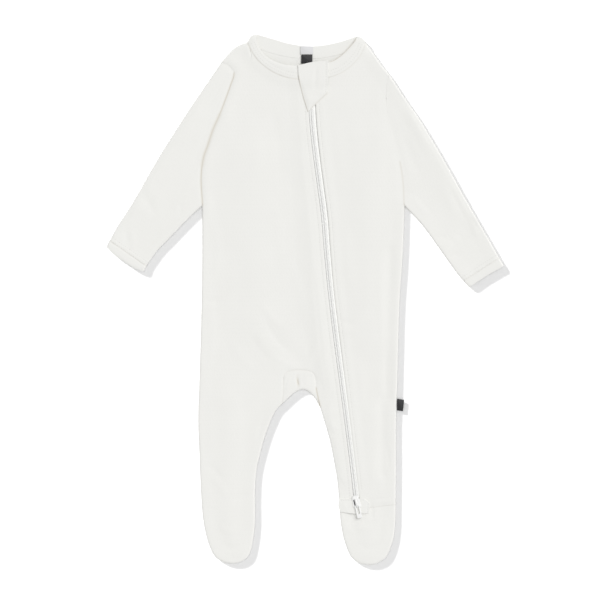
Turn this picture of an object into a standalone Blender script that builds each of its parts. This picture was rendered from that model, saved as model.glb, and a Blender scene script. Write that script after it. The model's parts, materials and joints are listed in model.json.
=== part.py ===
"""Footed baby sleepsuit, laid flat with its front up, built from the pieces its maker cuts and sews.

Lengths are in millimetres and become metres in each mesh. X runs to the wearer's left, Y from the feet
to the neck and Z up from the surface that the garment lies on. The origin is on the underside of the back.
Each cloth piece starts as a surface halfway through the cloth, which is then thickened to its wall.
"""
from math import cos, pi, radians, sin

import bpy
import numpy as np

MM = 0.001

# Cloth
WALL = 1.2              # one layer of fine jersey
DOUBLE = 2.0            # a binding folded double
SEAM_GAP = 0.3          # clear space between two pieces at their seam
ARMPIT_CLEARANCE = 1.2  # more between a sleeve and the body where both roll over at the armpit
ARMPIT_BLEND = 6.0
EDGE_RADIUS = 1.4       # radius of the middle of the cloth where it rolls over at an edge
BACK_LEVEL = WALL / 2   # middle of the back, which lies on the floor
EDGE_LEVEL = BACK_LEVEL + EDGE_RADIUS
SETTLE = 0.8            # how far the front sinks inside its rolled edge
SETTLE_WIDTH = 9.0
DEEPEST = -1.25         # lowest that folds and dips may take the front, from the top of its rolled edge

# Levels that divide the body, from the neck to the feet
ARMPIT_Y = 99.0
CROTCH_Y = -84.0
FLAP_Y = -212.6         # end of the strip inside the left leg, under the patch

# Zip
COIL_WIDTH = 4.2
COIL_FROM_EDGE = 2.7    # middle of the coil, from the right front's folded edge
TAPE_WIDTH = 9.0        # one tape, from the middle of the coil to its hidden edge
TAPE_LOW = 1.5
TAPE_HIGH = 2.1
COIL_HIGH = 3.7
ZIP_TOP_Y = 226.0
ZIP_END_Y = -205.4
ZIP_RIDGE = 1.0         # how far the folded front edges stand over the tape
ZIP_RIDGE_FLAT = 3.0
ZIP_RIDGE_WIDTH = 10.0
ZIP_ROLL = 0.5
ZIP_ROLL_WIDTH = 1.2

# The fronts lie lower round the zip's end, under the patch
PRESSED_LEVEL = 3.25
PRESSED_FROM = (30.0, -232.0)
PRESSED_TO = (74.0, -200.0)
PRESSED_EASE = 12.0
PATCH_LEVEL = 4.75

# Bands and guard, at the middle of their cloth
FRONT_BAND_LEVEL = 4.1
FRONT_BAND_END_DROP = 0.7
BACK_BAND_LEVEL = DOUBLE / 2
BAND_CROWN = 0.25
GUARD_THICK = 1.8
GUARD_LEVEL = 5.5
GUARD_RISE = 0.85
GUARD_RISE_FROM = 222.0
GUARD_RISE_LENGTH = 8.0

# Labels: thickness, and the corners of each
LABEL_THICK = 1.0
LABEL_LEVEL = DOUBLE + SEAM_GAP + LABEL_THICK / 2
HIP_TAB_LEVEL = 2.0
SIZE_LABEL = [(-4.2, 257.0), (9.0, 257.0), (9.0, 265.4), (-4.2, 265.4)]
NECK_LABEL = [(-3.5, 247.2), (8.3, 247.2), (8.3, 256.4), (-3.5, 256.4)]
HIP_TAB = [(97.2, -116.9), (103.4, -117.8), (104.6, -106.0), (97.2, -104.8)]

# Slider and pull tab, in the slider's own directions: x across, y up the closed zip, z up
SLIDER_AT = (54.2, -212.6)
SLIDER_TURN = radians(13.0)
PLATE_LENGTH = 12.6
PLATE_WIDE = 8.8
PLATE_NARROW = 6.4
PLATE_LOW = 4.2
PLATE_HIGH = 5.0
SHOE_WIDTH = 3.6
SHOE_LENGTH = 10.6
SHOE_LOW = 1.5
SHOE_HIGH = 2.3
POST_WIDTH = 1.6
POST_LENGTH = 3.4
POST_Y = -2.6
BAIL_WIDTH = 1.5
BAIL_BAR = 0.7
BAIL_TOP = 7.7
BAIL_FROM = -5.9
BAIL_TO = 3.2
PIVOT_Y = -4.2
PIVOT_Z = 6.15
TAB_END = -13.4
TAB_WIDTH = 5.2
TAB_THICK = 0.9
TAB_SLOT_WIDTH = 2.4
TAB_SLOT_END = -9.0
PATCH_CLEARANCE = 0.4   # round the slider's plate

# Spacing of the surfaces' points
ROW_SPACING = 17.0
COLUMN_SPACING = 16.0
EDGE_STEPS = (0.45, 1.5)
SEAM_STEPS = (4.0,)


def smooth_line(points, steps=8):
    """Points along a smooth curve through the given ones, each stretch cut into a number of steps."""
    knots = np.array(points, float)
    padded = np.vstack([2 * knots[0] - knots[1], knots, 2 * knots[-1] - knots[-2]])
    t = np.linspace(0.0, 1.0, steps, endpoint=False)[:, None]
    stretches = []
    for before, start, end, after in zip(padded, padded[1:], padded[2:], padded[3:]):
        linear = end - before
        square = 2 * before - 5 * start + 4 * end - after
        cube = 3 * start - before - 3 * end + after
        stretches.append(start + 0.5 * t * (linear + t * (square + t * cube)))
    return np.vstack([*stretches, knots[-1:]])


def smooth_parts(points, *cuts, steps=8):
    """Parts of one smooth curve through the given points, cut at some of them."""
    line = smooth_line(points, steps)
    places = [0, *[cut * steps for cut in cuts], len(line) - 1]
    return [line[first:last + 1] for first, last in zip(places, places[1:])]


# Middle of the cloth along the garment's outline, each line from the neck towards the feet
SHOULDER_RIGHT = smooth_line([(-59.6, 269.5), (-70.4, 265.0), (-78.8, 257.6), (-86.6, 248.6)])
SHOULDER_LEFT = smooth_line([(64.2, 268.2), (72.6, 256.8), (80.6, 245.2), (88.6, 235.6)])
SIDE_RIGHT = smooth_line([(-107.0, ARMPIT_Y), (-107.0, 40.0), (-108.0, -20.0), (-109.8, CROTCH_Y)])
SIDE_LEFT = smooth_line([(104.6, ARMPIT_Y), (102.6, 45.0), (99.4, 0.0), (98.0, -42.0), (97.0, CROTCH_Y)])
LEG_RIGHT_OUTER, TOE_RIGHT, LEG_RIGHT_INNER = smooth_parts([
    (-109.8, CROTCH_Y), (-111.2, -125.0), (-109.8, -165.0), (-108.2, -205.0), (-105.8, -232.0),
    (-101.4, -253.0), (-94.8, -268.6), (-85.5, -275.4), (-73.6, -277.4), (-64.4, -274.2), (-58.4, -267.6),
    (-54.6, -253.0), (-52.4, -232.0), (-52.6, -205.0), (-51.0, -179.6), (-46.2, -158.6), (-39.8, -137.6),
    (-31.0, -117.6), (-23.4, -109.5),
], 6, 10)
LEG_RIGHT_INNER = LEG_RIGHT_INNER[::-1]
LEG_LEFT_OUTER = smooth_line([(97.0, CROTCH_Y), (95.6, -125.0), (95.5, -170.0), (95.2, -215.8)])
FOOT_LEFT_OUTER, TOE_LEFT, FOOT_LEFT_INNER = smooth_parts([
    (95.2, -215.8), (94.8, -235.0), (92.4, -253.0), (86.2, -269.4), (78.2, -276.2), (68.4, -278.7),
    (57.0, -276.4), (48.8, -269.8), (42.4, -254.0), (38.8, -237.0), (37.4, -222.8),
], 3, 7)
TOE_LEFT = TOE_LEFT[::-1]
FOOT_LEFT_INNER = FOOT_LEFT_INNER[::-1]
LEG_LEFT_INNER = smooth_line([
    (16.6, -113.0), (20.9, -127.0), (26.9, -148.0), (31.2, -169.0), (34.8, -190.0), (36.4, -208.0),
    (37.4, -222.8),
])
CROTCH_ARCH = smooth_line([
    (-23.4, -109.5), (-16.0, -102.4), (-8.6, -96.6), (-1.6, -94.4), (5.0, -97.2), (11.4, -104.2),
    (16.6, -113.0),
])
SLEEVE_RIGHT_OUTER = smooth_line([
    (-86.6, 248.6), (-106.8, 219.0), (-127.8, 187.6), (-154.2, 145.6), (-177.8, 104.4),
    (-196.8, 74.6), (-204.2, 61.0),
])
SLEEVE_RIGHT_UNDER = smooth_line([
    (-107.0, ARMPIT_Y), (-122.6, 84.6), (-142.0, 64.6), (-155.2, 50.8), (-166.6, 34.8),
])
SLEEVE_LEFT_OUTER = smooth_line([
    (88.6, 235.6), (105.8, 209.4), (120.6, 188.0), (145.9, 145.6), (169.0, 104.0), (197.6, 54.4),
    (204.0, 42.6),
])
SLEEVE_LEFT_UNDER = smooth_line([
    (104.6, ARMPIT_Y), (124.6, 77.0), (142.4, 52.6), (160.4, 27.4), (167.4, 19.0),
])
CUFF_RIGHT_OUTER = smooth_line([(-204.2, 61.0), (-207.4, 54.2)])
CUFF_RIGHT_UNDER = smooth_line([(-166.6, 34.8), (-169.6, 29.2)])
CUFF_RIGHT_END = smooth_line([
    (-207.4, 54.2), (-201.4, 47.8), (-194.4, 43.0), (-185.6, 36.9), (-177.2, 31.9), (-169.6, 29.2),
])
CUFF_LEFT_OUTER = smooth_line([(204.0, 42.6), (208.6, 34.4)])
CUFF_LEFT_UNDER = smooth_line([(167.4, 19.0), (173.8, 12.8)])
CUFF_LEFT_END = smooth_line([(173.8, 12.8), (190.8, 24.2), (208.6, 34.4)])

# Seams and free edges inside the outline
ARMHOLE_RIGHT = smooth_line([
    (-86.6, 248.6), (-78.8, 244.2), (-74.0, 236.4), (-77.6, 224.6), (-82.8, 210.0), (-89.0, 194.0),
    (-96.0, 178.2), (-101.4, 161.8), (-106.4, 147.0), (-108.6, 126.0), (-107.0, ARMPIT_Y),
])
ARMHOLE_LEFT = smooth_line([
    (88.6, 235.6), (86.2, 222.0), (85.8, 207.0), (88.0, 189.0), (93.2, 170.0), (99.0, 150.0),
    (103.2, 125.0), (104.6, ARMPIT_Y),
])
NECK_SEAM_RIGHT = smooth_line([
    (-59.6, 269.5), (-53.6, 257.0), (-44.6, 246.6), (-31.0, 237.4), (-14.0, 231.6), (3.0, 230.2),
])
NECK_SEAM_LEFT = smooth_line([
    (64.2, 268.2), (58.6, 256.2), (50.0, 245.8), (38.4, 237.4), (24.8, 232.4), (10.6, 230.2),
])
NECK_EDGE_RIGHT = smooth_line([
    (-50.6, 278.2), (-49.8, 269.0), (-45.4, 260.4), (-38.0, 253.2), (-26.0, 247.4), (-12.4, 245.2),
    (2.0, 244.6),
])
NECK_EDGE_LEFT = smooth_line([
    (55.6, 276.0), (51.8, 269.6), (46.0, 263.0), (38.4, 255.6), (30.6, 250.4), (22.0, 247.6),
    (9.6, 246.0),
])
BACK_NECK_SEAM = smooth_line([
    (-59.6, 269.5), (-44.0, 261.2), (-20.0, 254.6), (2.0, 252.4), (22.0, 253.6), (46.0, 259.4),
    (64.2, 268.2),
])
BACK_NECK_EDGE = smooth_line([
    (-50.6, 278.2), (-36.0, 274.0), (-18.0, 268.8), (0.8, 265.6), (18.0, 266.2), (37.0, 270.0),
    (55.6, 276.0),
])
BAND_END_RIGHT = smooth_line([(-59.6, 269.5), (-56.6, 275.2), (-50.6, 278.2)])
BAND_END_LEFT = smooth_line([(64.2, 268.2), (61.2, 273.2), (55.6, 276.0)])
GUSSET_TOP = smooth_line([
    (-22.3, CROTCH_Y), (-20.6, -78.8), (-15.6, -75.8), (-5.0, -74.8), (5.6, -76.0), (10.2, -79.2),
    (11.6, CROTCH_Y),
])
GUSSET_RIGHT = smooth_line([(-22.3, CROTCH_Y), (-22.4, -97.0), (-23.4, -109.5)])
GUSSET_LEFT = smooth_line([(11.6, CROTCH_Y), (12.8, -97.0), (16.6, -113.0)])
ZIP_EDGE_RIGHT = smooth_line([
    (3.0, 230.2), (5.0, 187.0), (8.4, 154.0), (12.4, 124.0), (17.2, 88.0), (20.0, 53.6), (23.6, 15.0),
    (27.6, -20.0), (31.8, -53.6), (36.4, -88.0), (41.4, -126.0), (46.5, -166.0), (52.0, FLAP_Y),
])
ZIP_EDGE_LEFT = smooth_line([
    (10.6, 230.2), (12.9, 187.0), (16.2, 154.0), (20.0, 124.0), (24.8, 88.0), (27.4, 53.6),
    (30.6, 15.0), (34.6, -20.0), (38.9, -53.6), (43.2, -88.0), (47.8, -126.0), (52.6, -166.0),
    (59.0, -220.2),
])
ANKLE_SEAM = np.array([(37.4, -222.8), (59.0, -220.2), (95.2, -215.8)])
GUARD_LEFT_EDGE = smooth_line([(-7.0, 245.0), (-5.6, 230.0), (-1.6, 213.0), (3.6, 196.4)])
GUARD_RIGHT_EDGE = smooth_line([(24.8, 250.2), (25.0, 234.0), (24.2, 216.0)])
GUARD_TOP_EDGE = smooth_line([(-7.0, 245.0), (8.0, 248.6), (24.8, 250.2)])
GUARD_TIP_EDGE = smooth_line([(3.6, 196.4), (13.0, 205.6), (24.2, 216.0)])
PATCH_TOP_EDGE = np.array([(36.4, -209.6), (62.8, -209.4), (68.6, -214.2)])
PATCH_RIGHT_EDGE = np.array([(68.6, -214.2), (67.8, -225.0)])
PATCH_LEFT_EDGE = smooth_line([(36.4, -209.6), (35.6, -217.0), (37.6, -223.4)])
PATCH_LOWER_EDGE = smooth_line([(37.6, -223.4), (52.0, -225.4), (67.8, -225.0)])

# Largest folds of the front and the sleeves: ends of each, half its width and its height
FOLDS = [
    # x0, y0, x1, y1, half_width, rise
    (-15.0, 226.0, 0.0, 34.0, 8.0, -0.45),
    (0.0, 34.0, 20.0, -86.0, 8.0, -0.5),
    (-60.0, 150.0, -48.0, -20.0, 26.0, 0.9),
    (66.0, 170.0, 70.0, -40.0, 20.0, 0.9),
    (89.0, 50.0, 88.0, -104.0, 5.0, -0.45),
    (-38.0, -26.0, -4.0, -66.0, 6.0, -0.5),
    (-46.0, -42.0, -26.0, -72.0, 7.0, 0.6),
    (-80.0, -110.0, -80.0, -220.0, 16.0, 0.8),
    (82.0, -106.0, 82.0, -184.0, 5.0, -0.45),
    (70.0, -120.0, 72.0, -205.0, 8.0, 0.6),
    (-78.0, -238.0, -72.0, -262.0, 12.0, 0.7),
    (68.0, -236.0, 68.0, -264.0, 13.0, 0.7),
    (-112.0, 190.0, -165.0, 100.0, 13.0, 1.0),
    (-171.0, 112.0, -160.0, 94.0, 5.0, -0.5),
    (112.0, 190.0, 160.0, 95.0, 13.0, 1.0),
    (181.0, 84.0, 164.0, 66.0, 5.0, -0.5),
]
# Dips of the front into its armhole seams, with the body's ridge beside them
ARMHOLES = [
    # line, dip, dip_width, ridge, ridge_at, ridge_width
    (ARMHOLE_RIGHT, 1.2, 3.0, 1.0, 6.0, 4.0),
    (ARMHOLE_LEFT, 0.7, 5.0, 0.3, 8.0, 5.0),
]


def run_along(line):
    """Distance from the start of a line to each of its points."""
    steps = np.linalg.norm(np.diff(line, axis=0), axis=1)
    return np.concatenate([[0.0], np.cumsum(steps)])


def along(line, fractions):
    """Points at the given fractions of a line's length."""
    run = run_along(line)
    place = np.asarray(fractions) * run[-1]
    return np.column_stack([np.interp(place, run, line[:, axis]) for axis in (0, 1)])


def join(*lines):
    """One line from several, each starting where the one before it ends."""
    return np.vstack([lines[0], *[line[1:] for line in lines[1:]]])


def moved(line, x, y=0.0):
    return line + np.array([x, y])


def offset(line, step):
    """The line moved sideways, to its left where the step is above zero."""
    way = np.gradient(line, axis=0)
    way /= np.linalg.norm(way, axis=1)[:, None]
    return line + np.reshape(step, (-1, 1)) * np.column_stack([-way[:, 1], way[:, 0]])


def at_level(line, y):
    """Point of a falling line at a level."""
    return np.array([np.interp(-y, -line[:, 1], line[:, 0]), y])


def between(line, high, low):
    """Part of a falling line between two levels."""
    inside = line[(line[:, 1] < high - 1e-6) & (line[:, 1] > low + 1e-6)]
    return np.vstack([at_level(line, high), inside, at_level(line, low)])


def fractions(length, spacing, first=(), last=()):
    """Fractions from 0 to 1 along a length, evenly spaced between the close steps at its two ends."""
    start = first[-1] if first else 0.0
    end = length - (last[-1] if last else 0.0)
    middle = np.linspace(start, end, max(1, round((end - start) / spacing)) + 1)[1:-1]
    return np.array([0.0, *first, *middle, *([end] if last else []),
                     *[length - step for step in reversed(last[:-1])], length]) / length


def line_length(line):
    return run_along(line)[-1]


def coons(left, right, top, bottom, across, down, lean):
    """Grid of plan points between four sampled sides, in rows from the top side to the bottom side.

    Above 1, the lean keeps the turns of the left side close to it.
    """
    u = 1 - (1 - np.asarray(across)[None, :, None]) ** lean
    v = np.asarray(down)[:, None, None]
    sides = (1 - u) * left[:, None] + u * right[:, None]
    ends = (1 - v) * top[None] + v * bottom[None]
    corners = (1 - u) * ((1 - v) * top[0] + v * bottom[0]) + u * ((1 - v) * top[-1] + v * bottom[-1])
    return sides + ends - corners


def fitted(left, right, top, bottom, across, down, lean=1.0):
    """Grid whose sides start and end at the ends of its top and bottom."""
    sides = [np.vstack([top[column:][:1], side[1:-1], bottom[column:][:1]])
             for column, side in ((0, left), (-1, right))]
    return coons(*sides, top, bottom, across, down, lean)


def block(left, right, top, bottom, across, down):
    """Grid of plan points between four lines, sampled at the same fractions of each."""
    return fitted(along(left, down), along(right, down), along(top, across), along(bottom, across),
                  across, down)


def distance_to(points, line):
    """Shortest plan distance from each point to a line."""
    start = line[:-1]
    step = line[1:] - start
    offset = points[:, None, :2] - start[None]
    share = np.clip((offset * step).sum(2) / (step * step).sum(1), 0.0, 1.0)
    return np.linalg.norm(offset - share[..., None] * step, axis=2).min(1)


OUTLINE = [
    join(SHOULDER_RIGHT, SLEEVE_RIGHT_OUTER, CUFF_RIGHT_OUTER),
    join(CUFF_RIGHT_UNDER[::-1], SLEEVE_RIGHT_UNDER[::-1], SIDE_RIGHT, LEG_RIGHT_OUTER, TOE_RIGHT,
         LEG_RIGHT_INNER[::-1], CROTCH_ARCH, LEG_LEFT_INNER, FOOT_LEFT_INNER, TOE_LEFT,
         FOOT_LEFT_OUTER[::-1], LEG_LEFT_OUTER[::-1], SIDE_LEFT[::-1], SLEEVE_LEFT_UNDER,
         CUFF_LEFT_UNDER),
    join(SHOULDER_LEFT, SLEEVE_LEFT_OUTER, CUFF_LEFT_OUTER),
]


def distance_to_outline(points):
    return np.min([distance_to(points, line) for line in OUTLINE], axis=0)


def ease(value):
    """Smooth step from 0 to 1."""
    share = np.clip(value, 0.0, 1.0)
    return share * share * (3 - 2 * share)


def roll(distance):
    """Height of the rolled edge over the seam level, at a distance in from the outline."""
    inside = EDGE_RADIUS - np.minimum(distance, EDGE_RADIUS)
    return np.sqrt(EDGE_RADIUS ** 2 - inside ** 2)


def fold_height(points):
    """Sum of the soft ridges and troughs at each point."""
    height = np.zeros(len(points))
    for x0, y0, x1, y1, half_width, rise in FOLDS:
        gap = distance_to(points, np.array([(x0, y0), (x1, y1)]))
        height += rise * np.exp(-(gap / half_width) ** 2)
    return height


def armhole_height(points, on_body):
    """Dip into the armhole seams, and the body's ridge beside them."""
    height = np.zeros(len(points))
    for line, dip, dip_width, ridge, ridge_at, ridge_width in ARMHOLES:
        gap = distance_to(points, line)
        height -= dip * np.exp(-(gap / dip_width) ** 2)
        if on_body:
            height += ridge * np.exp(-((gap - ridge_at) / ridge_width) ** 2)
    return height


def zip_height(points, edge):
    """Ridge of a front's folded edge over the zip tape, rolled down at the edge itself."""
    gap = distance_to(points, edge)
    ridge = ZIP_RIDGE * (1 - ease((gap - ZIP_RIDGE_FLAT) / ZIP_RIDGE_WIDTH))
    return ridge - ZIP_ROLL * (1 - ease(gap / ZIP_ROLL_WIDTH))


def pressed(points, height):
    """The height, held down round the zip's end."""
    low = ease((points - np.array(PRESSED_FROM)) / PRESSED_EASE + 1).prod(1)
    high = ease((np.array(PRESSED_TO) - points) / PRESSED_EASE + 1).prod(1)
    return height - low * high * np.maximum(height - PRESSED_LEVEL, 0.0)


def front_height(points, edge=None, on_body=True, seam_gap=SEAM_GAP):
    """Level of the middle of the top layer."""
    gap = distance_to_outline(points)
    inner = -SETTLE * ease((gap - EDGE_RADIUS) / SETTLE_WIDTH) + fold_height(points)
    inner += armhole_height(points, on_body)
    if edge is not None:
        inner += zip_height(points, edge)
    inner = np.maximum(inner, DEEPEST) * ease(gap / (4 * EDGE_RADIUS))
    level = EDGE_LEVEL + np.maximum(roll(gap), seam_gap / 2)
    return pressed(points, level + inner)


def back_height(points, seam_gap=SEAM_GAP):
    """Level of the middle of the bottom layer, flat on the floor up to its rolled edge."""
    return EDGE_LEVEL - np.maximum(roll(distance_to_outline(points)), seam_gap / 2)


def border_of(faces):
    """Edges with one face, each in the direction its face runs."""
    edges = {(start, end) for face in faces for start, end in zip(face, face[1:] + face[:1])}
    return [edge for edge in sorted(edges) if (edge[1], edge[0]) not in edges]


def unit(vector):
    return vector / max(np.linalg.norm(vector), 1e-9)


def thicken(points, faces, wall, rolled=None):
    """Closed cloth around its middle surface.

    A cut edge faces straight out of the seam. Where rolled is true, at the outline, it faces up or down.
    """
    normals = np.zeros_like(points)
    for face in faces:
        corners = points[face]
        normals[face] += unit(np.cross(corners[2] - corners[0], corners[3] - corners[1]))
    border = border_of(faces)
    out_of_seam = np.zeros_like(points)
    out_of_outline = np.zeros_like(points)
    for start, end in border:
        step = points[end] - points[start]
        outward = unit(np.array([step[1], -step[0], 0.0]))
        at_outline = rolled is not None and rolled[start] and rolled[end]
        way = out_of_outline if at_outline else out_of_seam
        for corner in (start, end):
            way[corner] += outward if way[corner] @ outward >= 0 else -outward
    curl = np.sign(np.sum(normals * out_of_outline))
    for index in {corner for edge in border for corner in edge}:
        normal = normals[index]
        if out_of_outline[index].any():
            normal = out_of_outline[index] * curl
        across = unit(out_of_seam[index])
        in_seam = normal - (normal @ across) * across
        normals[index] = in_seam if unit(normal) @ unit(in_seam) > 0.5 else normal
    normals /= np.linalg.norm(normals, axis=1)[:, None]
    count = len(points)
    solid = np.vstack([points + normals * wall / 2, points - normals * wall / 2])
    shell = [list(face) for face in faces]
    shell += [[corner + count for corner in reversed(face)] for face in faces]
    shell += [[end, start, start + count, end + count] for start, end in border]
    return solid, shell


def finish(name, colour, roughness, metallic=0.0):
    """Plain material for one piece."""
    material = bpy.data.materials.new(name)
    material.use_nodes = True
    shader = material.node_tree.nodes["Principled BSDF"]
    shader.inputs["Base Color"].default_value = (*colour, 1.0)
    shader.inputs["Roughness"].default_value = roughness
    shader.inputs["Metallic"].default_value = metallic
    return material


JERSEY = dict(colour=(0.84, 0.84, 0.80), roughness=0.92)
RIB = dict(colour=(0.85, 0.85, 0.82), roughness=0.92)
TAPE = dict(colour=(0.82, 0.82, 0.79), roughness=0.6)
ENAMEL = dict(colour=(0.80, 0.80, 0.78), roughness=0.35, metallic=0.2)
BLACK_LABEL = dict(colour=(0.012, 0.012, 0.014), roughness=0.8)
GREY_LABEL = dict(colour=(0.62, 0.62, 0.63), roughness=0.8)


def on_outline(points):
    return distance_to_outline(points) < SEAM_GAP / 2


def grid_faces(rows, columns, wrapped=False):
    """Four-sided faces of a grid of points; a wrapped grid's last column meets its first."""
    faces = []
    for row in range(rows - 1):
        for column in range(columns if wrapped else columns - 1):
            after = (column + 1) % columns
            corner = row * columns
            faces.append([corner + column, corner + columns + column, corner + columns + after,
                          corner + after])
    return faces


def panel(grids, height):
    """One surface from grids of plan points that share their borders, raised to their heights."""
    place = {}
    points = []
    faces = []
    for grid in grids:
        rows, columns = grid.shape[:2]
        flat = grid.reshape(-1, 2)
        index = []
        for point in np.column_stack([flat, height(flat)]):
            key = tuple(np.round(point[:2], 3) + 0.0)
            if key not in place:
                place[key] = len(points)
                points.append(point)
            index.append(place[key])
        faces += [[index[corner] for corner in face] for face in grid_faces(rows, columns)]
    return np.array(points), faces


def two_layers(grid, top, bottom):
    """A grid's top and bottom layers, as points."""
    flat = grid.reshape(-1, 2)
    return [np.dstack([grid, height(flat).reshape(grid.shape[:2])]) for height in (top, bottom)]


def tube(grid, level, top, bottom):
    """Surface of a flattened tube: its first and last columns are the edges where it rolls over."""
    layers = two_layers(grid, top, bottom)
    for layer in layers:
        layer[:, [0, -1], 2] = level
    around = np.concatenate([layers[0], layers[1][:, -2:0:-1]], axis=1)
    return around.reshape(-1, 3), grid_faces(*around.shape[:2], wrapped=True)


def folded(grid, level, top, bottom):
    """Surface of a piece folded in two along its last row."""
    layers = two_layers(grid, top, bottom)
    for layer in layers:
        layer[-1, :, 2] = level
    whole = np.concatenate([layers[0], layers[1][-2::-1]])
    return whole.reshape(-1, 3), grid_faces(*whole.shape[:2])


# Fractions shared by the pieces that meet at a seam
ARMHOLE_ROWS = fractions(160.0, ROW_SPACING, (*EDGE_STEPS, 8.0, 15.0, 21.0), EDGE_STEPS)
TORSO_ROWS = fractions(ARMPIT_Y - CROTCH_Y, ROW_SPACING)
LEG_ROWS = fractions(190.0, ROW_SPACING, (), EDGE_STEPS)
FOOT_ROWS = fractions(54.0, ROW_SPACING, (), EDGE_STEPS)
LEG_COLUMNS = fractions(87.0, COLUMN_SPACING, EDGE_STEPS, EDGE_STEPS)
GUSSET_COLUMNS = fractions(42.0, 7.0)
STRIP_COLUMNS = fractions(24.0, 9.0, EDGE_STEPS, (ZIP_ROLL_WIDTH,))
OUTER_COLUMNS = fractions(62.0, 9.0, (ZIP_ROLL_WIDTH,), EDGE_STEPS)
CHEST_LEAN = 4.0
RIGHT_SHOULDER_STEPS = np.linspace(0.0, 1.0, 6)
LEFT_SHOULDER_STEPS = np.linspace(0.0, 1.0, 5)
RIGHT_NECK_STEPS = np.linspace(0.0, 1.0, 16)
LEFT_NECK_STEPS = np.linspace(0.0, 1.0, 7)
BACK_NECK_STEPS = np.linspace(0.0, 1.0, 16)


def sampled(*parts):
    """Points along several joined lines, each with its own fractions."""
    return join(*[along(line, steps) for line, steps in parts])


def spread(points):
    """Fractions of a sampled line's length at which its points lie."""
    run = run_along(points)
    return run / run[-1]


def front_right():
    """Right front with its leg to the toe, and the strip inside the left leg up to the zip."""
    edge = ZIP_EDGE_RIGHT
    armhole = offset(ARMHOLE_RIGHT, SEAM_GAP / 2)
    armpit_edge = at_level(edge, ARMPIT_Y)
    crotch_edge = at_level(edge, CROTCH_Y)
    neckline = sampled((SHOULDER_RIGHT[::-1], RIGHT_SHOULDER_STEPS), (NECK_SEAM_RIGHT, RIGHT_NECK_STEPS))
    neckline[0] = armhole[0]
    crotch_row = sampled((np.array([SIDE_RIGHT[-1], GUSSET_TOP[0]]), LEG_COLUMNS),
                         (GUSSET_TOP, GUSSET_COLUMNS),
                         (np.array([GUSSET_TOP[-1], crotch_edge]), STRIP_COLUMNS))
    across = spread(crotch_row)
    armpit_row = along(np.array([SIDE_RIGHT[0], armpit_edge]), across)
    chest = fitted(along(armhole, ARMHOLE_ROWS),
                   along(between(edge, edge[0, 1], ARMPIT_Y), ARMHOLE_ROWS),
                   neckline, armpit_row, across, ARMHOLE_ROWS, CHEST_LEAN)
    waist = fitted(along(SIDE_RIGHT, TORSO_ROWS), along(between(edge, ARMPIT_Y, CROTCH_Y), TORSO_ROWS),
                   armpit_row, crotch_row, across, TORSO_ROWS)
    leg = block(LEG_RIGHT_OUTER, join(GUSSET_RIGHT, LEG_RIGHT_INNER),
                np.array([SIDE_RIGHT[-1], GUSSET_TOP[0]]), TOE_RIGHT, LEG_COLUMNS, LEG_ROWS)
    inner = join(GUSSET_LEFT, LEG_LEFT_INNER)
    strip = block(between(inner, CROTCH_Y, FLAP_Y), between(edge, CROTCH_Y, FLAP_Y),
                  np.array([GUSSET_TOP[-1], crotch_edge]),
                  np.array([at_level(inner, FLAP_Y), edge[-1]]), STRIP_COLUMNS, LEG_ROWS)
    return [chest, waist, leg, strip], lambda points: front_height(points, edge)


def front_left():
    """Left front, from the neck seam to the ankle seam."""
    edge = ZIP_EDGE_LEFT
    armhole = offset(ARMHOLE_LEFT, -SEAM_GAP / 2)
    armpit_edge = at_level(edge, ARMPIT_Y)
    neckline = sampled((NECK_SEAM_LEFT[::-1], LEFT_NECK_STEPS), (SHOULDER_LEFT, LEFT_SHOULDER_STEPS))
    neckline[-1] = armhole[0]
    armpit_row = along(np.array([armpit_edge, SIDE_LEFT[0]]), OUTER_COLUMNS)
    chest = fitted(along(between(edge, edge[0, 1], ARMPIT_Y), ARMHOLE_ROWS),
                   along(armhole, ARMHOLE_ROWS), neckline, armpit_row, OUTER_COLUMNS, ARMHOLE_ROWS)
    rows = fractions(315.0, ROW_SPACING, (), SEAM_STEPS)
    lower = block(between(edge, ARMPIT_Y, edge[-1, 1]), join(SIDE_LEFT, LEG_LEFT_OUTER),
                  np.array([armpit_edge, SIDE_LEFT[0]]), moved(ANKLE_SEAM[1:], 0.0, SEAM_GAP / 2),
                  OUTER_COLUMNS, rows)
    return [chest, lower], lambda points: front_height(points, edge)


def foot_left():
    """Top of the left foot, from the ankle seam to the toe."""
    grid = block(FOOT_LEFT_INNER, FOOT_LEFT_OUTER, moved(ANKLE_SEAM, 0.0, -SEAM_GAP), TOE_LEFT,
                 fractions(58.0, COLUMN_SPACING, EDGE_STEPS, EDGE_STEPS), FOOT_ROWS)
    return [grid], front_height


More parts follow.
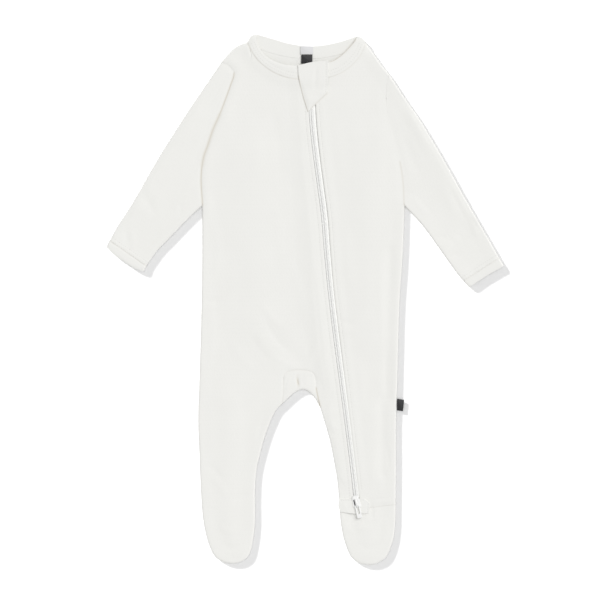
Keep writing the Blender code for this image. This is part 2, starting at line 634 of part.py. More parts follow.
def back():
    """Back of the body and of both legs, from the neck seam to the toes."""
    right_armhole = offset(ARMHOLE_RIGHT, SEAM_GAP / 2)
    left_armhole = offset(ARMHOLE_LEFT, -SEAM_GAP / 2)
    neckline = sampled((SHOULDER_RIGHT[::-1], RIGHT_SHOULDER_STEPS), (BACK_NECK_SEAM, BACK_NECK_STEPS),
                       (SHOULDER_LEFT, LEFT_SHOULDER_STEPS))
    neckline[0] = right_armhole[0]
    neckline[-1] = left_armhole[0]
    right_top = np.array([SIDE_RIGHT[-1], GUSSET_TOP[0]])
    left_top = np.array([GUSSET_TOP[-1], SIDE_LEFT[-1]])
    crotch_row = sampled((right_top, LEG_COLUMNS), (GUSSET_TOP, GUSSET_COLUMNS), (left_top, LEG_COLUMNS))
    across = spread(crotch_row)
    armpit_row = along(np.array([SIDE_RIGHT[0], SIDE_LEFT[0]]), across)
    shoulders = fitted(along(right_armhole, ARMHOLE_ROWS), along(left_armhole, ARMHOLE_ROWS), neckline,
                       armpit_row, across, ARMHOLE_ROWS, CHEST_LEAN)
    seat = fitted(along(SIDE_RIGHT, TORSO_ROWS), along(SIDE_LEFT, TORSO_ROWS), armpit_row, crotch_row,
                  across, TORSO_ROWS)
    right_leg = block(LEG_RIGHT_OUTER, join(GUSSET_RIGHT, LEG_RIGHT_INNER), right_top, TOE_RIGHT,
                      LEG_COLUMNS, LEG_ROWS)
    left_leg = block(join(GUSSET_LEFT, LEG_LEFT_INNER, FOOT_LEFT_INNER),
                     join(LEG_LEFT_OUTER, FOOT_LEFT_OUTER), left_top, TOE_LEFT, LEG_COLUMNS, LEG_ROWS)
    return [shoulders, seat, right_leg, left_leg], back_height


def gusset():
    """Crotch gusset, folded from the front to the back over the crotch."""
    centre = GUSSET_TOP[:, 0].mean()

    def narrowed(line, drop):
        inside = (line[:, 0] - centre) * (1 - SEAM_GAP / 17.0) + centre
        return np.column_stack([inside, line[:, 1] - drop])

    grid = block(narrowed(GUSSET_RIGHT, SEAM_GAP), narrowed(GUSSET_LEFT, SEAM_GAP),
                 narrowed(GUSSET_TOP, SEAM_GAP), narrowed(CROTCH_ARCH, 0.0),
                 GUSSET_COLUMNS, fractions(26.0, 8.0, (), EDGE_STEPS))
    return folded(grid, EDGE_LEVEL, lambda points: front_height(points, seam_gap=0.0), back_height)


def sleeve_head(armhole):
    """Distance of a sleeve's end from the armhole line, wider at the armpit where both edges roll over."""
    to_armpit = np.linalg.norm(armhole - armhole[-1], axis=1)
    return SEAM_GAP / 2 + ARMPIT_CLEARANCE * (1 - ease(to_armpit / ARMPIT_BLEND))


def sleeve(side):
    """Sleeve, a flattened tube from the armhole to the cuff."""
    if side == "right":
        head, columns = offset(ARMHOLE_RIGHT, -sleeve_head(ARMHOLE_RIGHT)), ARMHOLE_ROWS
        left, right = SLEEVE_RIGHT_OUTER, SLEEVE_RIGHT_UNDER
    else:
        head, columns = offset(ARMHOLE_LEFT, sleeve_head(ARMHOLE_LEFT))[::-1], 1 - ARMHOLE_ROWS[::-1]
        left, right = SLEEVE_LEFT_UNDER, SLEEVE_LEFT_OUTER
    end = offset(np.array([left[-1], right[-1]]), SEAM_GAP / 2)
    rows = fractions(line_length(left) / 2 + line_length(right) / 2, ROW_SPACING, SEAM_STEPS)
    grid = block(left, right, head, end, columns, rows)
    return tube(grid, EDGE_LEVEL, lambda points: front_height(points, on_body=False), back_height)


def cuff(side):
    """Cuff, a flattened ring of doubled cloth at the end of a sleeve."""
    if side == "right":
        left, right, end = CUFF_RIGHT_OUTER, CUFF_RIGHT_UNDER, CUFF_RIGHT_END
    else:
        left, right, end = CUFF_LEFT_UNDER, CUFF_LEFT_OUTER, CUFF_LEFT_END
    start = offset(np.array([left[0], right[0]]), -SEAM_GAP / 2)
    columns = fractions(line_length(start), 6.0, EDGE_STEPS, EDGE_STEPS)
    grid = block(left, right, start, end, columns, np.linspace(0.0, 1.0, 3))
    level = DOUBLE / 2 + EDGE_RADIUS
    return tube(grid, level, lambda points: level + roll(distance_to_outline(points)),
                lambda points: level - roll(distance_to_outline(points)))


BAND_STEPS = np.array([0.0, 0.14, 0.86, 1.0])


def front_band(side):
    """One end of the neckband, from the shoulder down to the zip."""
    if side == "right":
        seam, edge, end = offset(NECK_SEAM_RIGHT, SEAM_GAP), NECK_EDGE_RIGHT, BAND_END_RIGHT
        grid = block(end[::-1], np.array([edge[-1], seam[-1]]), edge, seam, RIGHT_NECK_STEPS, BAND_STEPS)
    else:
        seam = offset(NECK_SEAM_LEFT, -SEAM_GAP)[::-1]
        edge, end = NECK_EDGE_LEFT[::-1], BAND_END_LEFT
        grid = block(np.array([edge[0], seam[0]]), end[::-1], edge, seam, LEFT_NECK_STEPS, BAND_STEPS)

    def level(points):
        crown = np.minimum(distance_to(points, seam), distance_to(points, edge))
        drop = 1 - ease(distance_to(points, end) / (4 * EDGE_RADIUS))
        return FRONT_BAND_LEVEL - BAND_CROWN * (1 - ease(crown)) - FRONT_BAND_END_DROP * drop

    return [grid], level


def back_band():
    """Neckband across the back, flat on the floor."""
    grid = block(BAND_END_RIGHT[::-1], BAND_END_LEFT[::-1], BACK_NECK_EDGE,
                 offset(BACK_NECK_SEAM, SEAM_GAP), BACK_NECK_STEPS, BAND_STEPS)
    return [grid], lambda points: np.full(len(points), BACK_BAND_LEVEL)


def chin_guard():
    """Folded flap over the zip's top end."""
    grid = block(GUARD_LEFT_EDGE, GUARD_RIGHT_EDGE, GUARD_TOP_EDGE, GUARD_TIP_EDGE,
                 np.linspace(0.0, 1.0, 5), np.linspace(0.0, 1.0, 7))
    return [grid], lambda points: GUARD_LEVEL + GUARD_RISE * ease(
        (points[:, 1] - GUARD_RISE_FROM) / GUARD_RISE_LENGTH)


def zip_patch():
    """Patch sewn over the zip's lower end, across the ankle."""
    grid = block(PATCH_LEFT_EDGE, PATCH_RIGHT_EDGE, PATCH_TOP_EDGE, PATCH_LOWER_EDGE,
                 np.linspace(0.0, 1.0, 6), np.linspace(0.0, 1.0, 4))
    return [grid], lambda points: np.full(len(points), PATCH_LEVEL)


def zip_tape(side):
    """One zip tape with its half of the coil, as a section drawn along the zip."""
    line = between(moved(ZIP_EDGE_RIGHT, COIL_FROM_EDGE), ZIP_TOP_Y, ZIP_END_Y)
    centres = along(line, fractions(line_length(line), ROW_SPACING))
    half_gap = SEAM_GAP / 2
    section = [
        (half_gap, TAPE_LOW), (TAPE_WIDTH, TAPE_LOW), (TAPE_WIDTH, TAPE_HIGH),
        (COIL_WIDTH / 2, TAPE_HIGH), (COIL_WIDTH / 2, COIL_HIGH), (half_gap, COIL_HIGH),
    ]
    if side == "right":
        section = [(-x, z) for x, z in reversed(section)]
    points = np.array([(x + across, y, z) for x, y in centres for across, z in section])
    count = len(section)
    faces = grid_faces(len(centres), count, wrapped=True)
    faces = [face[::-1] for face in faces]
    last = (len(centres) - 1) * count
    faces += [list(range(count - 1, -1, -1)), list(range(last, last + count))]
    return points, faces


def prism(outline, low, high):
    """Upright solid on an outline that runs anticlockwise."""
    flat = np.array(outline, float)
    count = len(flat)
    points = np.vstack([np.column_stack([flat, np.full(count, level)]) for level in (low, high)])
    faces = [list(range(count - 1, -1, -1)), list(range(count, 2 * count))]
    faces += [[index, (index + 1) % count, (index + 1) % count + count, index + count]
              for index in range(count)]
    return points, faces


def box_outline(width, start, end, centre=0.0):
    return [(centre - width / 2, start), (centre + width / 2, start), (centre + width / 2, end),
            (centre - width / 2, end)]


def plate_outline(margin=0.0):
    """Slider's upper plate: wide at the open end below, narrow above, with round corners."""
    half = PLATE_LENGTH / 2 + margin
    corners = [
        (PLATE_WIDE / 2 + margin, -half, 2.6), (PLATE_NARROW / 2 + margin, half, 1.8),
        (-PLATE_NARROW / 2 - margin, half, 1.8), (-PLATE_WIDE / 2 - margin, -half, 2.6),
    ]
    outline = []
    for index, (x, y, radius) in enumerate(corners):
        inside = (x - np.sign(x) * radius, y - np.sign(y) * radius)
        start = -pi / 2 + index * pi / 2
        for step in range(5):
            angle = start + step * pi / 8
            outline.append((inside[0] + radius * cos(angle), inside[1] + radius * sin(angle)))
    return outline


def bail_profile():
    """Bail over the slider's plate as (y, z), from its lower foot over the top and back inside."""
    low = 0.5 * (PLATE_LOW + PLATE_HIGH)
    corner = BAIL_BAR
    outer = [(BAIL_FROM, low), (BAIL_FROM, BAIL_TOP - corner), (BAIL_FROM + corner, BAIL_TOP),
             (BAIL_TO - corner, BAIL_TOP), (BAIL_TO, BAIL_TOP - corner), (BAIL_TO, low)]
    inner = [(BAIL_TO - BAIL_BAR, low), (BAIL_TO - BAIL_BAR, BAIL_TOP - BAIL_BAR),
             (BAIL_FROM + BAIL_BAR, BAIL_TOP - BAIL_BAR), (BAIL_FROM + BAIL_BAR, low)]
    return outer + inner


def bail():
    profile = bail_profile()
    count = len(profile)
    points = np.array([(x, y, z) for x in (-BAIL_WIDTH / 2, BAIL_WIDTH / 2) for y, z in profile])
    faces = [list(range(count)), list(range(2 * count - 1, count - 1, -1))]
    faces += [[(index + 1) % count, index, index + count, (index + 1) % count + count]
              for index in range(count)]
    return points, faces


def pull_tab():
    """Flat tab with a slot that the bail passes through, about its hinge line."""
    def ring(width, start, end, radius):
        outline = []
        corners = [(width / 2, start), (width / 2, end), (-width / 2, end), (-width / 2, start)]
        turns = [0.0, pi / 2, pi, 3 * pi / 2]
        for (x, y), turn in zip(corners, turns):
            inside = (x - np.sign(x) * radius, y + (radius if y == end else -radius))
            for step in range(4):
                angle = pi / 2 - turn - step * pi / 6
                outline.append((inside[0] + radius * cos(angle), inside[1] + radius * sin(angle)))
        return outline

    outer = ring(TAB_WIDTH, TAB_THICK / 2, TAB_END, 0.4)
    inner = ring(TAB_SLOT_WIDTH, -TAB_THICK / 2, TAB_SLOT_END, 0.3)
    count = len(outer)
    levels = (TAB_THICK / 2, -TAB_THICK / 2)
    points = np.array([(x, y, z) for z in levels for loop in (outer, inner) for x, y in loop])
    faces = []
    for index in range(count):
        after = (index + 1) % count
        faces.append([index, after, after + count, index + count])
        low = 2 * count
        faces.append([after + low, index + low, index + count + low, after + count + low])
        faces.append([after, index, index + low, after + low])
        faces.append([index + count, after + count, after + count + low, index + count + low])
    return points, [face[::-1] for face in faces]


def add_object(name, solid, look, location=(0.0, 0.0, 0.0), turn=0.0):
    """Object from a solid's points in millimetres and its faces."""
    points, faces = solid
    mesh = bpy.data.meshes.new(name)
    mesh.from_pydata((np.asarray(points) * MM).tolist(), [], faces)
    mesh.materials.append(finish(name, **look))
    piece = bpy.data.objects.new(name, mesh)
    piece.location = [value * MM for value in location]
    piece.rotation_euler.z = turn
    bpy.context.collection.objects.link(piece)
    return piece


def combine(piece, name, solid, operation, location, turn):
    """Join a helper solid to a piece, or cut it away."""
    helper = add_object(name, solid, ENAMEL, location, turn)
    helper.hide_render = True
    helper.display_type = "WIRE"
    step = piece.modifiers.new(name, "BOOLEAN")
    step.operation = operation
    step.object = helper


def add_cloth(name, shape, look, wall=WALL):
    """Cloth piece from its grids and its height."""
    grids, height = shape
    points, faces = panel(grids, height)
    return add_object(name, thicken(points, faces, wall, on_outline(points)), look)


def main():
    for old in list(bpy.data.objects):
        bpy.data.objects.remove(old)
    add_cloth("back_panel", back(), JERSEY)
    add_cloth("front_right", front_right(), JERSEY)
    add_cloth("front_left", front_left(), JERSEY)
    add_cloth("foot_left", foot_left(), JERSEY)
    add_object("gusset", thicken(*gusset(), WALL), JERSEY)
    for side in ("right", "left"):
        add_object(f"sleeve_{side}", thicken(*sleeve(side), WALL), JERSEY)
        add_object(f"cuff_{side}", thicken(*cuff(side), DOUBLE), RIB)
        add_cloth(f"neckband_front_{side}", front_band(side), RIB, DOUBLE)
        add_object(f"zip_tape_{side}", zip_tape(side), TAPE)
    add_cloth("neckband_back", back_band(), RIB, DOUBLE)
    add_cloth("chin_guard", chin_guard(), JERSEY, GUARD_THICK)
    patch = add_cloth("zip_end_patch", zip_patch(), JERSEY)
    place = (*SLIDER_AT, 0.0)
    combine(patch, "slider_clearance", prism(plate_outline(PATCH_CLEARANCE), SHOE_LOW, BAIL_TOP),
            "DIFFERENCE", place, SLIDER_TURN)
    slider = add_object("zip_slider", prism(plate_outline(), PLATE_LOW, PLATE_HIGH), ENAMEL, place,
                        SLIDER_TURN)
    shoe = prism(box_outline(SHOE_WIDTH, -SHOE_LENGTH / 2, SHOE_LENGTH / 2), SHOE_LOW, SHOE_HIGH)
    post = prism(box_outline(POST_WIDTH, POST_Y - POST_LENGTH / 2, POST_Y + POST_LENGTH / 2),
                 0.5 * (SHOE_LOW + SHOE_HIGH), 0.5 * (PLATE_LOW + PLATE_HIGH))
    combine(slider, "slider_post", post, "UNION", place, SLIDER_TURN)
    combine(slider, "slider_shoe", shoe, "UNION", place, SLIDER_TURN)
    combine(slider, "slider_bail", bail(), "UNION", place, SLIDER_TURN)
    hinge = (SLIDER_AT[0] - sin(SLIDER_TURN) * PIVOT_Y, SLIDER_AT[1] + cos(SLIDER_TURN) * PIVOT_Y, PIVOT_Z)
    add_object("pull_tab", pull_tab(), ENAMEL, hinge, SLIDER_TURN)
    for name, outline, level, look in (
        ("size_label", SIZE_LABEL, LABEL_LEVEL, GREY_LABEL),
        ("neck_label", NECK_LABEL, LABEL_LEVEL, BLACK_LABEL),
        ("hip_tab", HIP_TAB, HIP_TAB_LEVEL, BLACK_LABEL),
    ):
        add_object(name, prism(outline, level - LABEL_THICK / 2, level + LABEL_THICK / 2), look)


if __name__ == "__main__":
    main()
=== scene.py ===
"""Footed baby sleepsuit, laid flat with its front up: cloth, sewing, zip and light over the solid frame.

Lengths in the tables are in millimetres and become metres in each mesh. X runs to the wearer's left, Y from
the feet to the neck and Z up from the floor. Each cloth piece is a surface halfway through its cloth.
"""
import json
from functools import partial
from math import atan2, cos, pi, radians, sin

import bmesh
import bpy
import numpy as np
from bpy.props import FloatProperty, FloatVectorProperty, PointerProperty
from mathutils import Matrix, Vector

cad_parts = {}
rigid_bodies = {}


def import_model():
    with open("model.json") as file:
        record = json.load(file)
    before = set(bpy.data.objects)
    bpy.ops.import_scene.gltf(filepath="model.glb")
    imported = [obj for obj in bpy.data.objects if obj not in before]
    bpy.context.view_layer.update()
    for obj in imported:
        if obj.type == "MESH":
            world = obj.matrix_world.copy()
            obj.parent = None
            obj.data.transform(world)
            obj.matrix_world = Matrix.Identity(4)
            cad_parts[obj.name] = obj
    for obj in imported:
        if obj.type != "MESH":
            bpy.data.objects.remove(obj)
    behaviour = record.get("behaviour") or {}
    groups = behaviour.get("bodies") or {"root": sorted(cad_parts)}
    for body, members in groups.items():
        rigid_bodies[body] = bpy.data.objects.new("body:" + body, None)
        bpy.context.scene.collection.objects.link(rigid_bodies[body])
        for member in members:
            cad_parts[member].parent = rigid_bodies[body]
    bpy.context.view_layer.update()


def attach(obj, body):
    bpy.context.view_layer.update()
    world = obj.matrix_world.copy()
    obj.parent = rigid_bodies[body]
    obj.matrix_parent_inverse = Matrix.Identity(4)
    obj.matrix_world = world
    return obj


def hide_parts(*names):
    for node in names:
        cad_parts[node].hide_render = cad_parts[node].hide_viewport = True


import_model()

bl_info = {
    "name": "Baby Sleepsuit",
    "version": (1, 0, 0),
    "blender": (4, 5, 0),
    "location": "3D View > Sidebar > Sleepsuit",
    "description": "Builds the cloth, sewing and zip of a footed baby sleepsuit over its solid frame",
    "category": "Object",
}

MM = 0.001

# Cloth
SEAM_GAP = 0.06         # clear space between two pieces at their seam
ARMPIT_CLEARANCE = 1.2  # more between a sleeve and the body where both roll over at the armpit
ARMPIT_BLEND = 6.0
EDGE_RADIUS = 1.4       # radius of the middle of the cloth where it rolls over at an edge
EDGE_BLEND = 5.6        # width over which folds grow from the rolled edge
EDGE_LEVEL = 2.0        # level of the seam that joins front and back at the outline
SETTLE = 0.6            # how far the front sinks inside its rolled edge
SETTLE_WIDTH = 15.0
DEEPEST = -1.25         # lowest that folds and dips may take the front, from the top of its rolled edge
HIGHEST_BACK = 0.7      # highest that creases may lift the back off the floor
BACK_NECK_RISE = 0.85   # how far the back climbs to its neckband
BACK_NECK_RISE_WIDTH = 6.0

# Levels that divide the body, from the neck to the feet
ARMPIT_Y = 99.0
CROTCH_Y = -84.0
FLAP_Y = -212.6

# Zip
COIL_FROM_EDGE = 2.4
COIL_LEVEL = 3.7
TAPE_WIDTH = 9.0
TAPE_LEVEL = 1.8
TAPE_RISE = 1.45        # how much higher each tape lies by the coil, and how far out
TAPE_RISE_WIDTH = {"right": 1.2, "left": 3.3}
TAPE_FALL = 2.0
TAPE_THICK = 0.5
TAPE_RIM = 0.1
TAPE_STEP = 3.0
TAPE_COLUMNS = 13
ZIP_TOP_Y = 226.0
ZIP_END_Y = -208.4
ZIP_RIDGE = 0.55
ZIP_RIDGE_FLAT = 3.0
ZIP_RIDGE_WIDTH = 10.0
ZIP_ROLL = 0.3
ZIP_ROLL_WIDTH = 1.0
PRESSED_LEVEL = 3.25
PRESSED_FROM = (30.0, -232.0)
PRESSED_TO = (74.0, -200.0)
PRESSED_EASE = 12.0
PATCH_LEVEL = 4.3

# Bands, guard and labels, at the middle of their cloth
FRONT_BAND_LEVEL = 4.1
FRONT_BAND_END_DROP = 0.7
BAND_CROWN = 0.4        # how far the folded bands are rounded down at their edges, and over which width
BAND_CROWN_WIDTH = 2.0
BACK_BAND_LEVEL = 1.0
BACK_BAND_GAP = 0.08    # clear space below the back neckband
GUARD_LEVEL = 4.95
GUARD_RISE = 0.85
GUARD_RISE_FROM = 219.0
GUARD_RISE_LENGTH = 12.0
GUARD_EDGE_DROP = 0.75
GUARD_EDGE_WIDTH = 4.0
CUFF_LEVEL = 2.2
LABEL_LEVEL = 2.8
HIP_TAB_LEVEL = 2.0

# Slider and pull tab, in the slider's own directions: x across, y up the closed zip, z up
SLIDER_AT = (54.2, -212.6)
SLIDER_TURN = radians(13.0)
PLATE_LENGTH = 12.6
PLATE_WIDE = 8.8
PLATE_NARROW = 6.4
PLATE_LOW = 4.85
PLATE_HIGH = 5.6
PLATE_CORNER = 2.0
PLATE_RIM = 0.15
WINDOW_WIDTH = 1.2      # slot beside the bail, with a near-black block under it as painted shade
WINDOW_X = -2.1
WINDOW_FROM = -3.8
WINDOW_TO = 2.4
WINDOW_CORNER = 0.5
# Levels, corner and rim of the near-black block in the window, which is painted shade
WINDOW_SHADE_LEVELS = (PLATE_LOW + 0.02, PLATE_HIGH - 0.25)
WINDOW_SHADE_CORNER = 0.4
WINDOW_SHADE_RIM = 0.05
SHOE_WIDTH = 3.6
SHOE_LENGTH = 10.6
SHOE_LOW = 1.5
SHOE_HIGH = 2.3
SHOE_CORNER = 1.2
SHOE_RIM = 0.2
POST_WIDTH = 1.6
POST_LENGTH = 3.4
POST_Y = -2.6
POST_CORNER = 0.4
POST_RIM = 0.05
SUNK = 0.3              # how far post and bail are sunk in the plate and the shoe
BAIL_WIDTH = 1.5
BAIL_BAR = 0.7
BAIL_TOP = 7.7
BAIL_FROM = -5.9
BAIL_TO = 3.2
BAIL_RIM = 0.12
PIVOT_Y = -4.2
PIVOT_Z = 6.15
TAB_END = -13.4
TAB_WIDTH = 5.2
TAB_THICK = 0.9
TAB_CORNER = 0.7
TAB_SLOT_WIDTH = 2.4
TAB_SLOT_END = -9.0
CORNER_SEGMENTS = 4
SHARP_ANGLE = radians(60.0)
TINY_GAP = 0.001

# Spacing of the cloth's points, with closer steps at edges and seams
ROW_SPACING = 2.1
COLUMN_SPACING = 2.1
BACK_SPACING = 3.4
CROTCH_SPACING = 1.6
BACK_BAND_SPACING = 1.6
FRONT_BAND_SPACING = 1.3
TRIM_SPACING = 1.2
PATCH_SPACING = 1.0
EDGE_STEPS = (0.15, 0.45, 0.85, 1.4, 2.2, 3.4)
SEAM_STEPS = (0.35, 0.8, 1.4, 2.2, 3.2, 4.4)
ZIP_STEPS = (0.35, 0.8, 1.4, 2.2, 3.0, 3.8, 4.8)

# Sewing and rims
RIM = 0.00012
BAND_RIM = 0.0005
RIM_ANGLE = radians(50.0)
STITCH_RISE = 0.22
STITCH_DIP = 0.2
STITCH_DIP_WIDTH = 1.1
STITCH_AHEAD = 0.2      # distance over which a row's direction is taken
SLEEVE_TURNS = {"right": radians(-36.7), "left": radians(36.7)}
LABEL_THICK = 1.0
LABEL_CORNER = 0.35
LABEL_RIM = 0.15
SIZE_LABEL = [(-4.2, 257.0), (9.0, 257.0), (9.0, 265.4), (-4.2, 265.4)]
NECK_LABEL = [(-3.5, 247.2), (8.3, 247.2), (8.3, 256.4), (-3.5, 256.4)]
HIP_TAB = [(97.2, -116.9), (103.4, -117.8), (104.6, -106.0), (97.2, -104.8)]

# One turn of the coil: half its length, width and height, its distance from the middle and its tilt
COIL_TURN = (1.55, 1.0, 0.16)
COIL_TURN_FROM_MIDDLE = 1.1
COIL_TILT = radians(8.0)

# Creases reach this many half widths, and fade in over a third of their length at each end
CREASE_REACH = 3.0
CREASE_FADE = 3.0
CREASE_STEPS = 4

# Making of the lines and meshes
CURVE_STEPS = 8         # steps of each stretch of a curve
CHUNK = 4000            # points measured at a time
WELD = 0.002            # distance at which the borders of two grids become one
TINY = 1e-6

# Height of a loop of the knit and of its openwork, and reach of an open stitch, as shares of their width
LOOP_HEIGHT = 0.75
OPENWORK_HEIGHT = 1.3
EYELET_HOLE = 0.08
EYELET_EDGE = 0.3

# Stage
FLOOR_SIZE = 8.0
CAMERA_OVER = (-4.725, -1.05)


def smooth_line(points, steps=CURVE_STEPS):
    """Points along a smooth curve through the given ones, each stretch cut into a number of steps."""
    knots = np.array(points, float)
    padded = np.vstack([2 * knots[0] - knots[1], knots, 2 * knots[-1] - knots[-2]])
    t = np.linspace(0.0, 1.0, steps, endpoint=False)[:, None]
    stretches = []
    for before, start, end, after in zip(padded, padded[1:], padded[2:], padded[3:]):
        linear = end - before
        square = 2 * before - 5 * start + 4 * end - after
        cube = 3 * start - before - 3 * end + after
        stretches.append(start + 0.5 * t * (linear + t * (square + t * cube)))
    return np.vstack([*stretches, knots[-1:]])


def smooth_parts(points, *cuts):
    """Parts of one smooth curve through the given points, cut at some of them."""
    line = smooth_line(points)
    places = [0, *[cut * CURVE_STEPS for cut in cuts], len(line) - 1]
    return [line[first:last + 1] for first, last in zip(places, places[1:])]


# Middle of the cloth along the garment's outline, each line from the neck towards the feet
SHOULDER_RIGHT = smooth_line([(-59.6, 269.5), (-70.4, 265), (-78.8, 257.6), (-86.6, 248.6)])
SHOULDER_LEFT = smooth_line([(64.2, 268.2), (72.6, 256.8), (80.6, 245.2), (88.6, 235.6)])
SIDE_RIGHT = smooth_line([(-107, ARMPIT_Y), (-107, 40), (-108, -20), (-109.8, CROTCH_Y)])
SIDE_LEFT = smooth_line([(104.6, ARMPIT_Y), (102.6, 45), (99.4, 0), (98, -42), (97, CROTCH_Y)])
LEG_RIGHT_OUTER, TOE_RIGHT, LEG_RIGHT_INNER = smooth_parts([
    (-109.8, CROTCH_Y), (-111.2, -125), (-109.8, -165), (-108.2, -205), (-105.8, -232), (-101.4, -253),
    (-94.8, -268.6), (-85.5, -275.4), (-73.6, -277.4), (-64.4, -274.2), (-58.4, -267.6), (-54.6, -253),
    (-52.4, -232), (-52.6, -205), (-51, -179.6), (-46.2, -158.6), (-39.8, -137.6), (-31, -117.6),
    (-23.4, -109.5),
], 6, 10)
LEG_RIGHT_INNER = LEG_RIGHT_INNER[::-1]
LEG_LEFT_OUTER = smooth_line([(97, CROTCH_Y), (95.6, -125), (95.5, -170), (95.2, -215.8)])
FOOT_LEFT_OUTER, TOE_LEFT, FOOT_LEFT_INNER = smooth_parts([
    (95.2, -215.8), (94.8, -235), (92.4, -253), (86.2, -269.4), (78.2, -276.2), (68.4, -278.7),
    (57, -276.4), (48.8, -269.8), (42.4, -254), (38.8, -237), (37.4, -222.8),
], 3, 7)
TOE_LEFT = TOE_LEFT[::-1]
FOOT_LEFT_INNER = FOOT_LEFT_INNER[::-1]
LEG_LEFT_INNER = smooth_line([
    (16.6, -113), (20.9, -127), (26.9, -148), (31.2, -169), (34.8, -190), (36.4, -208), (37.4, -222.8),
])
CROTCH_ARCH = smooth_line([
    (-23.4, -109.5), (-16, -102.4), (-8.6, -96.6), (-1.6, -94.4), (5, -97.2), (11.4, -104.2),
    (16.6, -113),
])
SLEEVE_RIGHT_OUTER = smooth_line([
    (-86.6, 248.6), (-106.8, 219), (-127.8, 187.6), (-154.2, 145.6), (-177.8, 104.4), (-196.8, 74.6),
    (-204.2, 61),
])
SLEEVE_RIGHT_UNDER = smooth_line([
    (-107, ARMPIT_Y), (-122.6, 84.6), (-142, 64.6), (-155.2, 50.8), (-166.6, 34.8),
])
SLEEVE_LEFT_OUTER = smooth_line([
    (88.6, 235.6), (105.8, 209.4), (120.6, 188), (145.9, 145.6), (169, 104), (197.6, 54.4), (204, 42.6),
])
SLEEVE_LEFT_UNDER = smooth_line([
    (104.6, ARMPIT_Y), (124.6, 77), (142.4, 52.6), (160.4, 27.4), (167.4, 19),
])
CUFF_RIGHT_OUTER = smooth_line([(-204.2, 61), (-207.4, 54.2)])
CUFF_RIGHT_UNDER = smooth_line([(-166.6, 34.8), (-169.6, 29.2)])
CUFF_RIGHT_END = smooth_line([
    (-207.4, 54.2), (-201.4, 47.8), (-194.4, 43), (-185.6, 36.9), (-177.2, 31.9), (-169.6, 29.2),
])
CUFF_LEFT_OUTER = smooth_line([(204, 42.6), (208.6, 34.4)])
CUFF_LEFT_UNDER = smooth_line([(167.4, 19), (173.8, 12.8)])
CUFF_LEFT_END = smooth_line([(173.8, 12.8), (190.8, 24.2), (208.6, 34.4)])

# Seams and free edges inside the outline
ARMHOLE_RIGHT = smooth_line([
    (-86.6, 248.6), (-78.8, 244.2), (-74, 236.4), (-77.6, 224.6), (-82.8, 210), (-89, 194), (-96, 178.2),
    (-101.4, 161.8), (-106.4, 147), (-108.6, 126), (-107, ARMPIT_Y),
])
ARMHOLE_LEFT = smooth_line([
    (88.6, 235.6), (86.2, 222), (85.8, 207), (88, 189), (93.2, 170), (99, 150), (103.2, 125),
    (104.6, ARMPIT_Y),
])
NECK_SEAM_RIGHT = smooth_line([
    (-59.6, 269.5), (-53.6, 257), (-44.6, 246.6), (-31, 237.4), (-14, 231.6), (3, 230.2),
])
NECK_SEAM_LEFT = smooth_line([
    (64.2, 268.2), (58.6, 256.2), (50, 245.8), (38.4, 237.4), (24.8, 232.4), (10.6, 230.2),
])
NECK_EDGE_RIGHT = smooth_line([
    (-50.6, 278.2), (-49.8, 269), (-45.4, 260.4), (-38, 253.2), (-26, 247.4), (-12.4, 245.2), (2, 244.6),
])
NECK_EDGE_LEFT = smooth_line([
    (55.6, 276), (51.8, 269.6), (46, 263), (38.4, 255.6), (30.6, 250.4), (22, 247.6), (9.6, 246),
])
BACK_NECK_SEAM = smooth_line([
    (-59.6, 269.5), (-44, 261.2), (-20, 254.6), (2, 252.4), (22, 253.6), (46, 259.4), (64.2, 268.2),
])
BACK_NECK_EDGE = smooth_line([
    (-50.6, 278.2), (-36, 274), (-18, 268.8), (0.8, 265.6), (18, 266.2), (37, 270), (55.6, 276),
])
BAND_END_RIGHT = smooth_line([(-59.6, 269.5), (-56.6, 275.2), (-50.6, 278.2)])
BAND_END_LEFT = smooth_line([(64.2, 268.2), (61.2, 273.2), (55.6, 276)])
GUSSET_TOP = smooth_line([
    (-22.3, CROTCH_Y), (-20.6, -78.8), (-15.6, -75.8), (-5, -74.8), (5.6, -76), (10.2, -79.2),
    (11.6, CROTCH_Y),
])
GUSSET_RIGHT = smooth_line([(-22.3, CROTCH_Y), (-22.4, -97), (-23.4, -109.5)])
GUSSET_LEFT = smooth_line([(11.6, CROTCH_Y), (12.8, -97), (16.6, -113)])
ZIP_EDGE_RIGHT = smooth_line([
    (3, 230.2), (5, 187), (8.4, 154), (12.4, 124), (17.2, 88), (20, 53.6), (23.6, 15), (27.6, -20),
    (31.8, -53.6), (36.4, -88), (41.4, -126), (46.5, -166), (52, FLAP_Y),
])
ZIP_EDGE_LEFT = smooth_line([
    (10.6, 230.2), (12.9, 187), (16.2, 154), (20, 124), (24.8, 88), (27.4, 53.6), (30.6, 15),
    (34.6, -20), (38.9, -53.6), (43.2, -88), (47.8, -126), (52.6, -166), (59, -220.2),
])
ANKLE_SEAM = np.array([(37.4, -222.8), (59, -220.2), (95.2, -215.8)])
GUARD_LEFT_EDGE = smooth_line([(-7, 245), (-5.6, 230), (-1.6, 213), (3.6, 196.4)])
GUARD_RIGHT_EDGE = smooth_line([(24.8, 250.2), (25, 234), (24.2, 216)])
GUARD_TOP_EDGE = smooth_line([(-7, 245), (8, 248.6), (24.8, 250.2)])
GUARD_TIP_EDGE = smooth_line([(3.6, 196.4), (13, 205.6), (24.2, 216)])
PATCH_TOP_EDGE = np.array([(36.4, -209.6), (62.8, -209.4), (68.6, -214.2)])
PATCH_RIGHT_EDGE = np.array([(68.6, -214.2), (67.8, -225)])
PATCH_LEFT_EDGE = smooth_line([(36.4, -209.6), (35.6, -217), (37.6, -223.4)])
PATCH_LOWER_EDGE = smooth_line([(37.6, -223.4), (52, -225.4), (67.8, -225)])

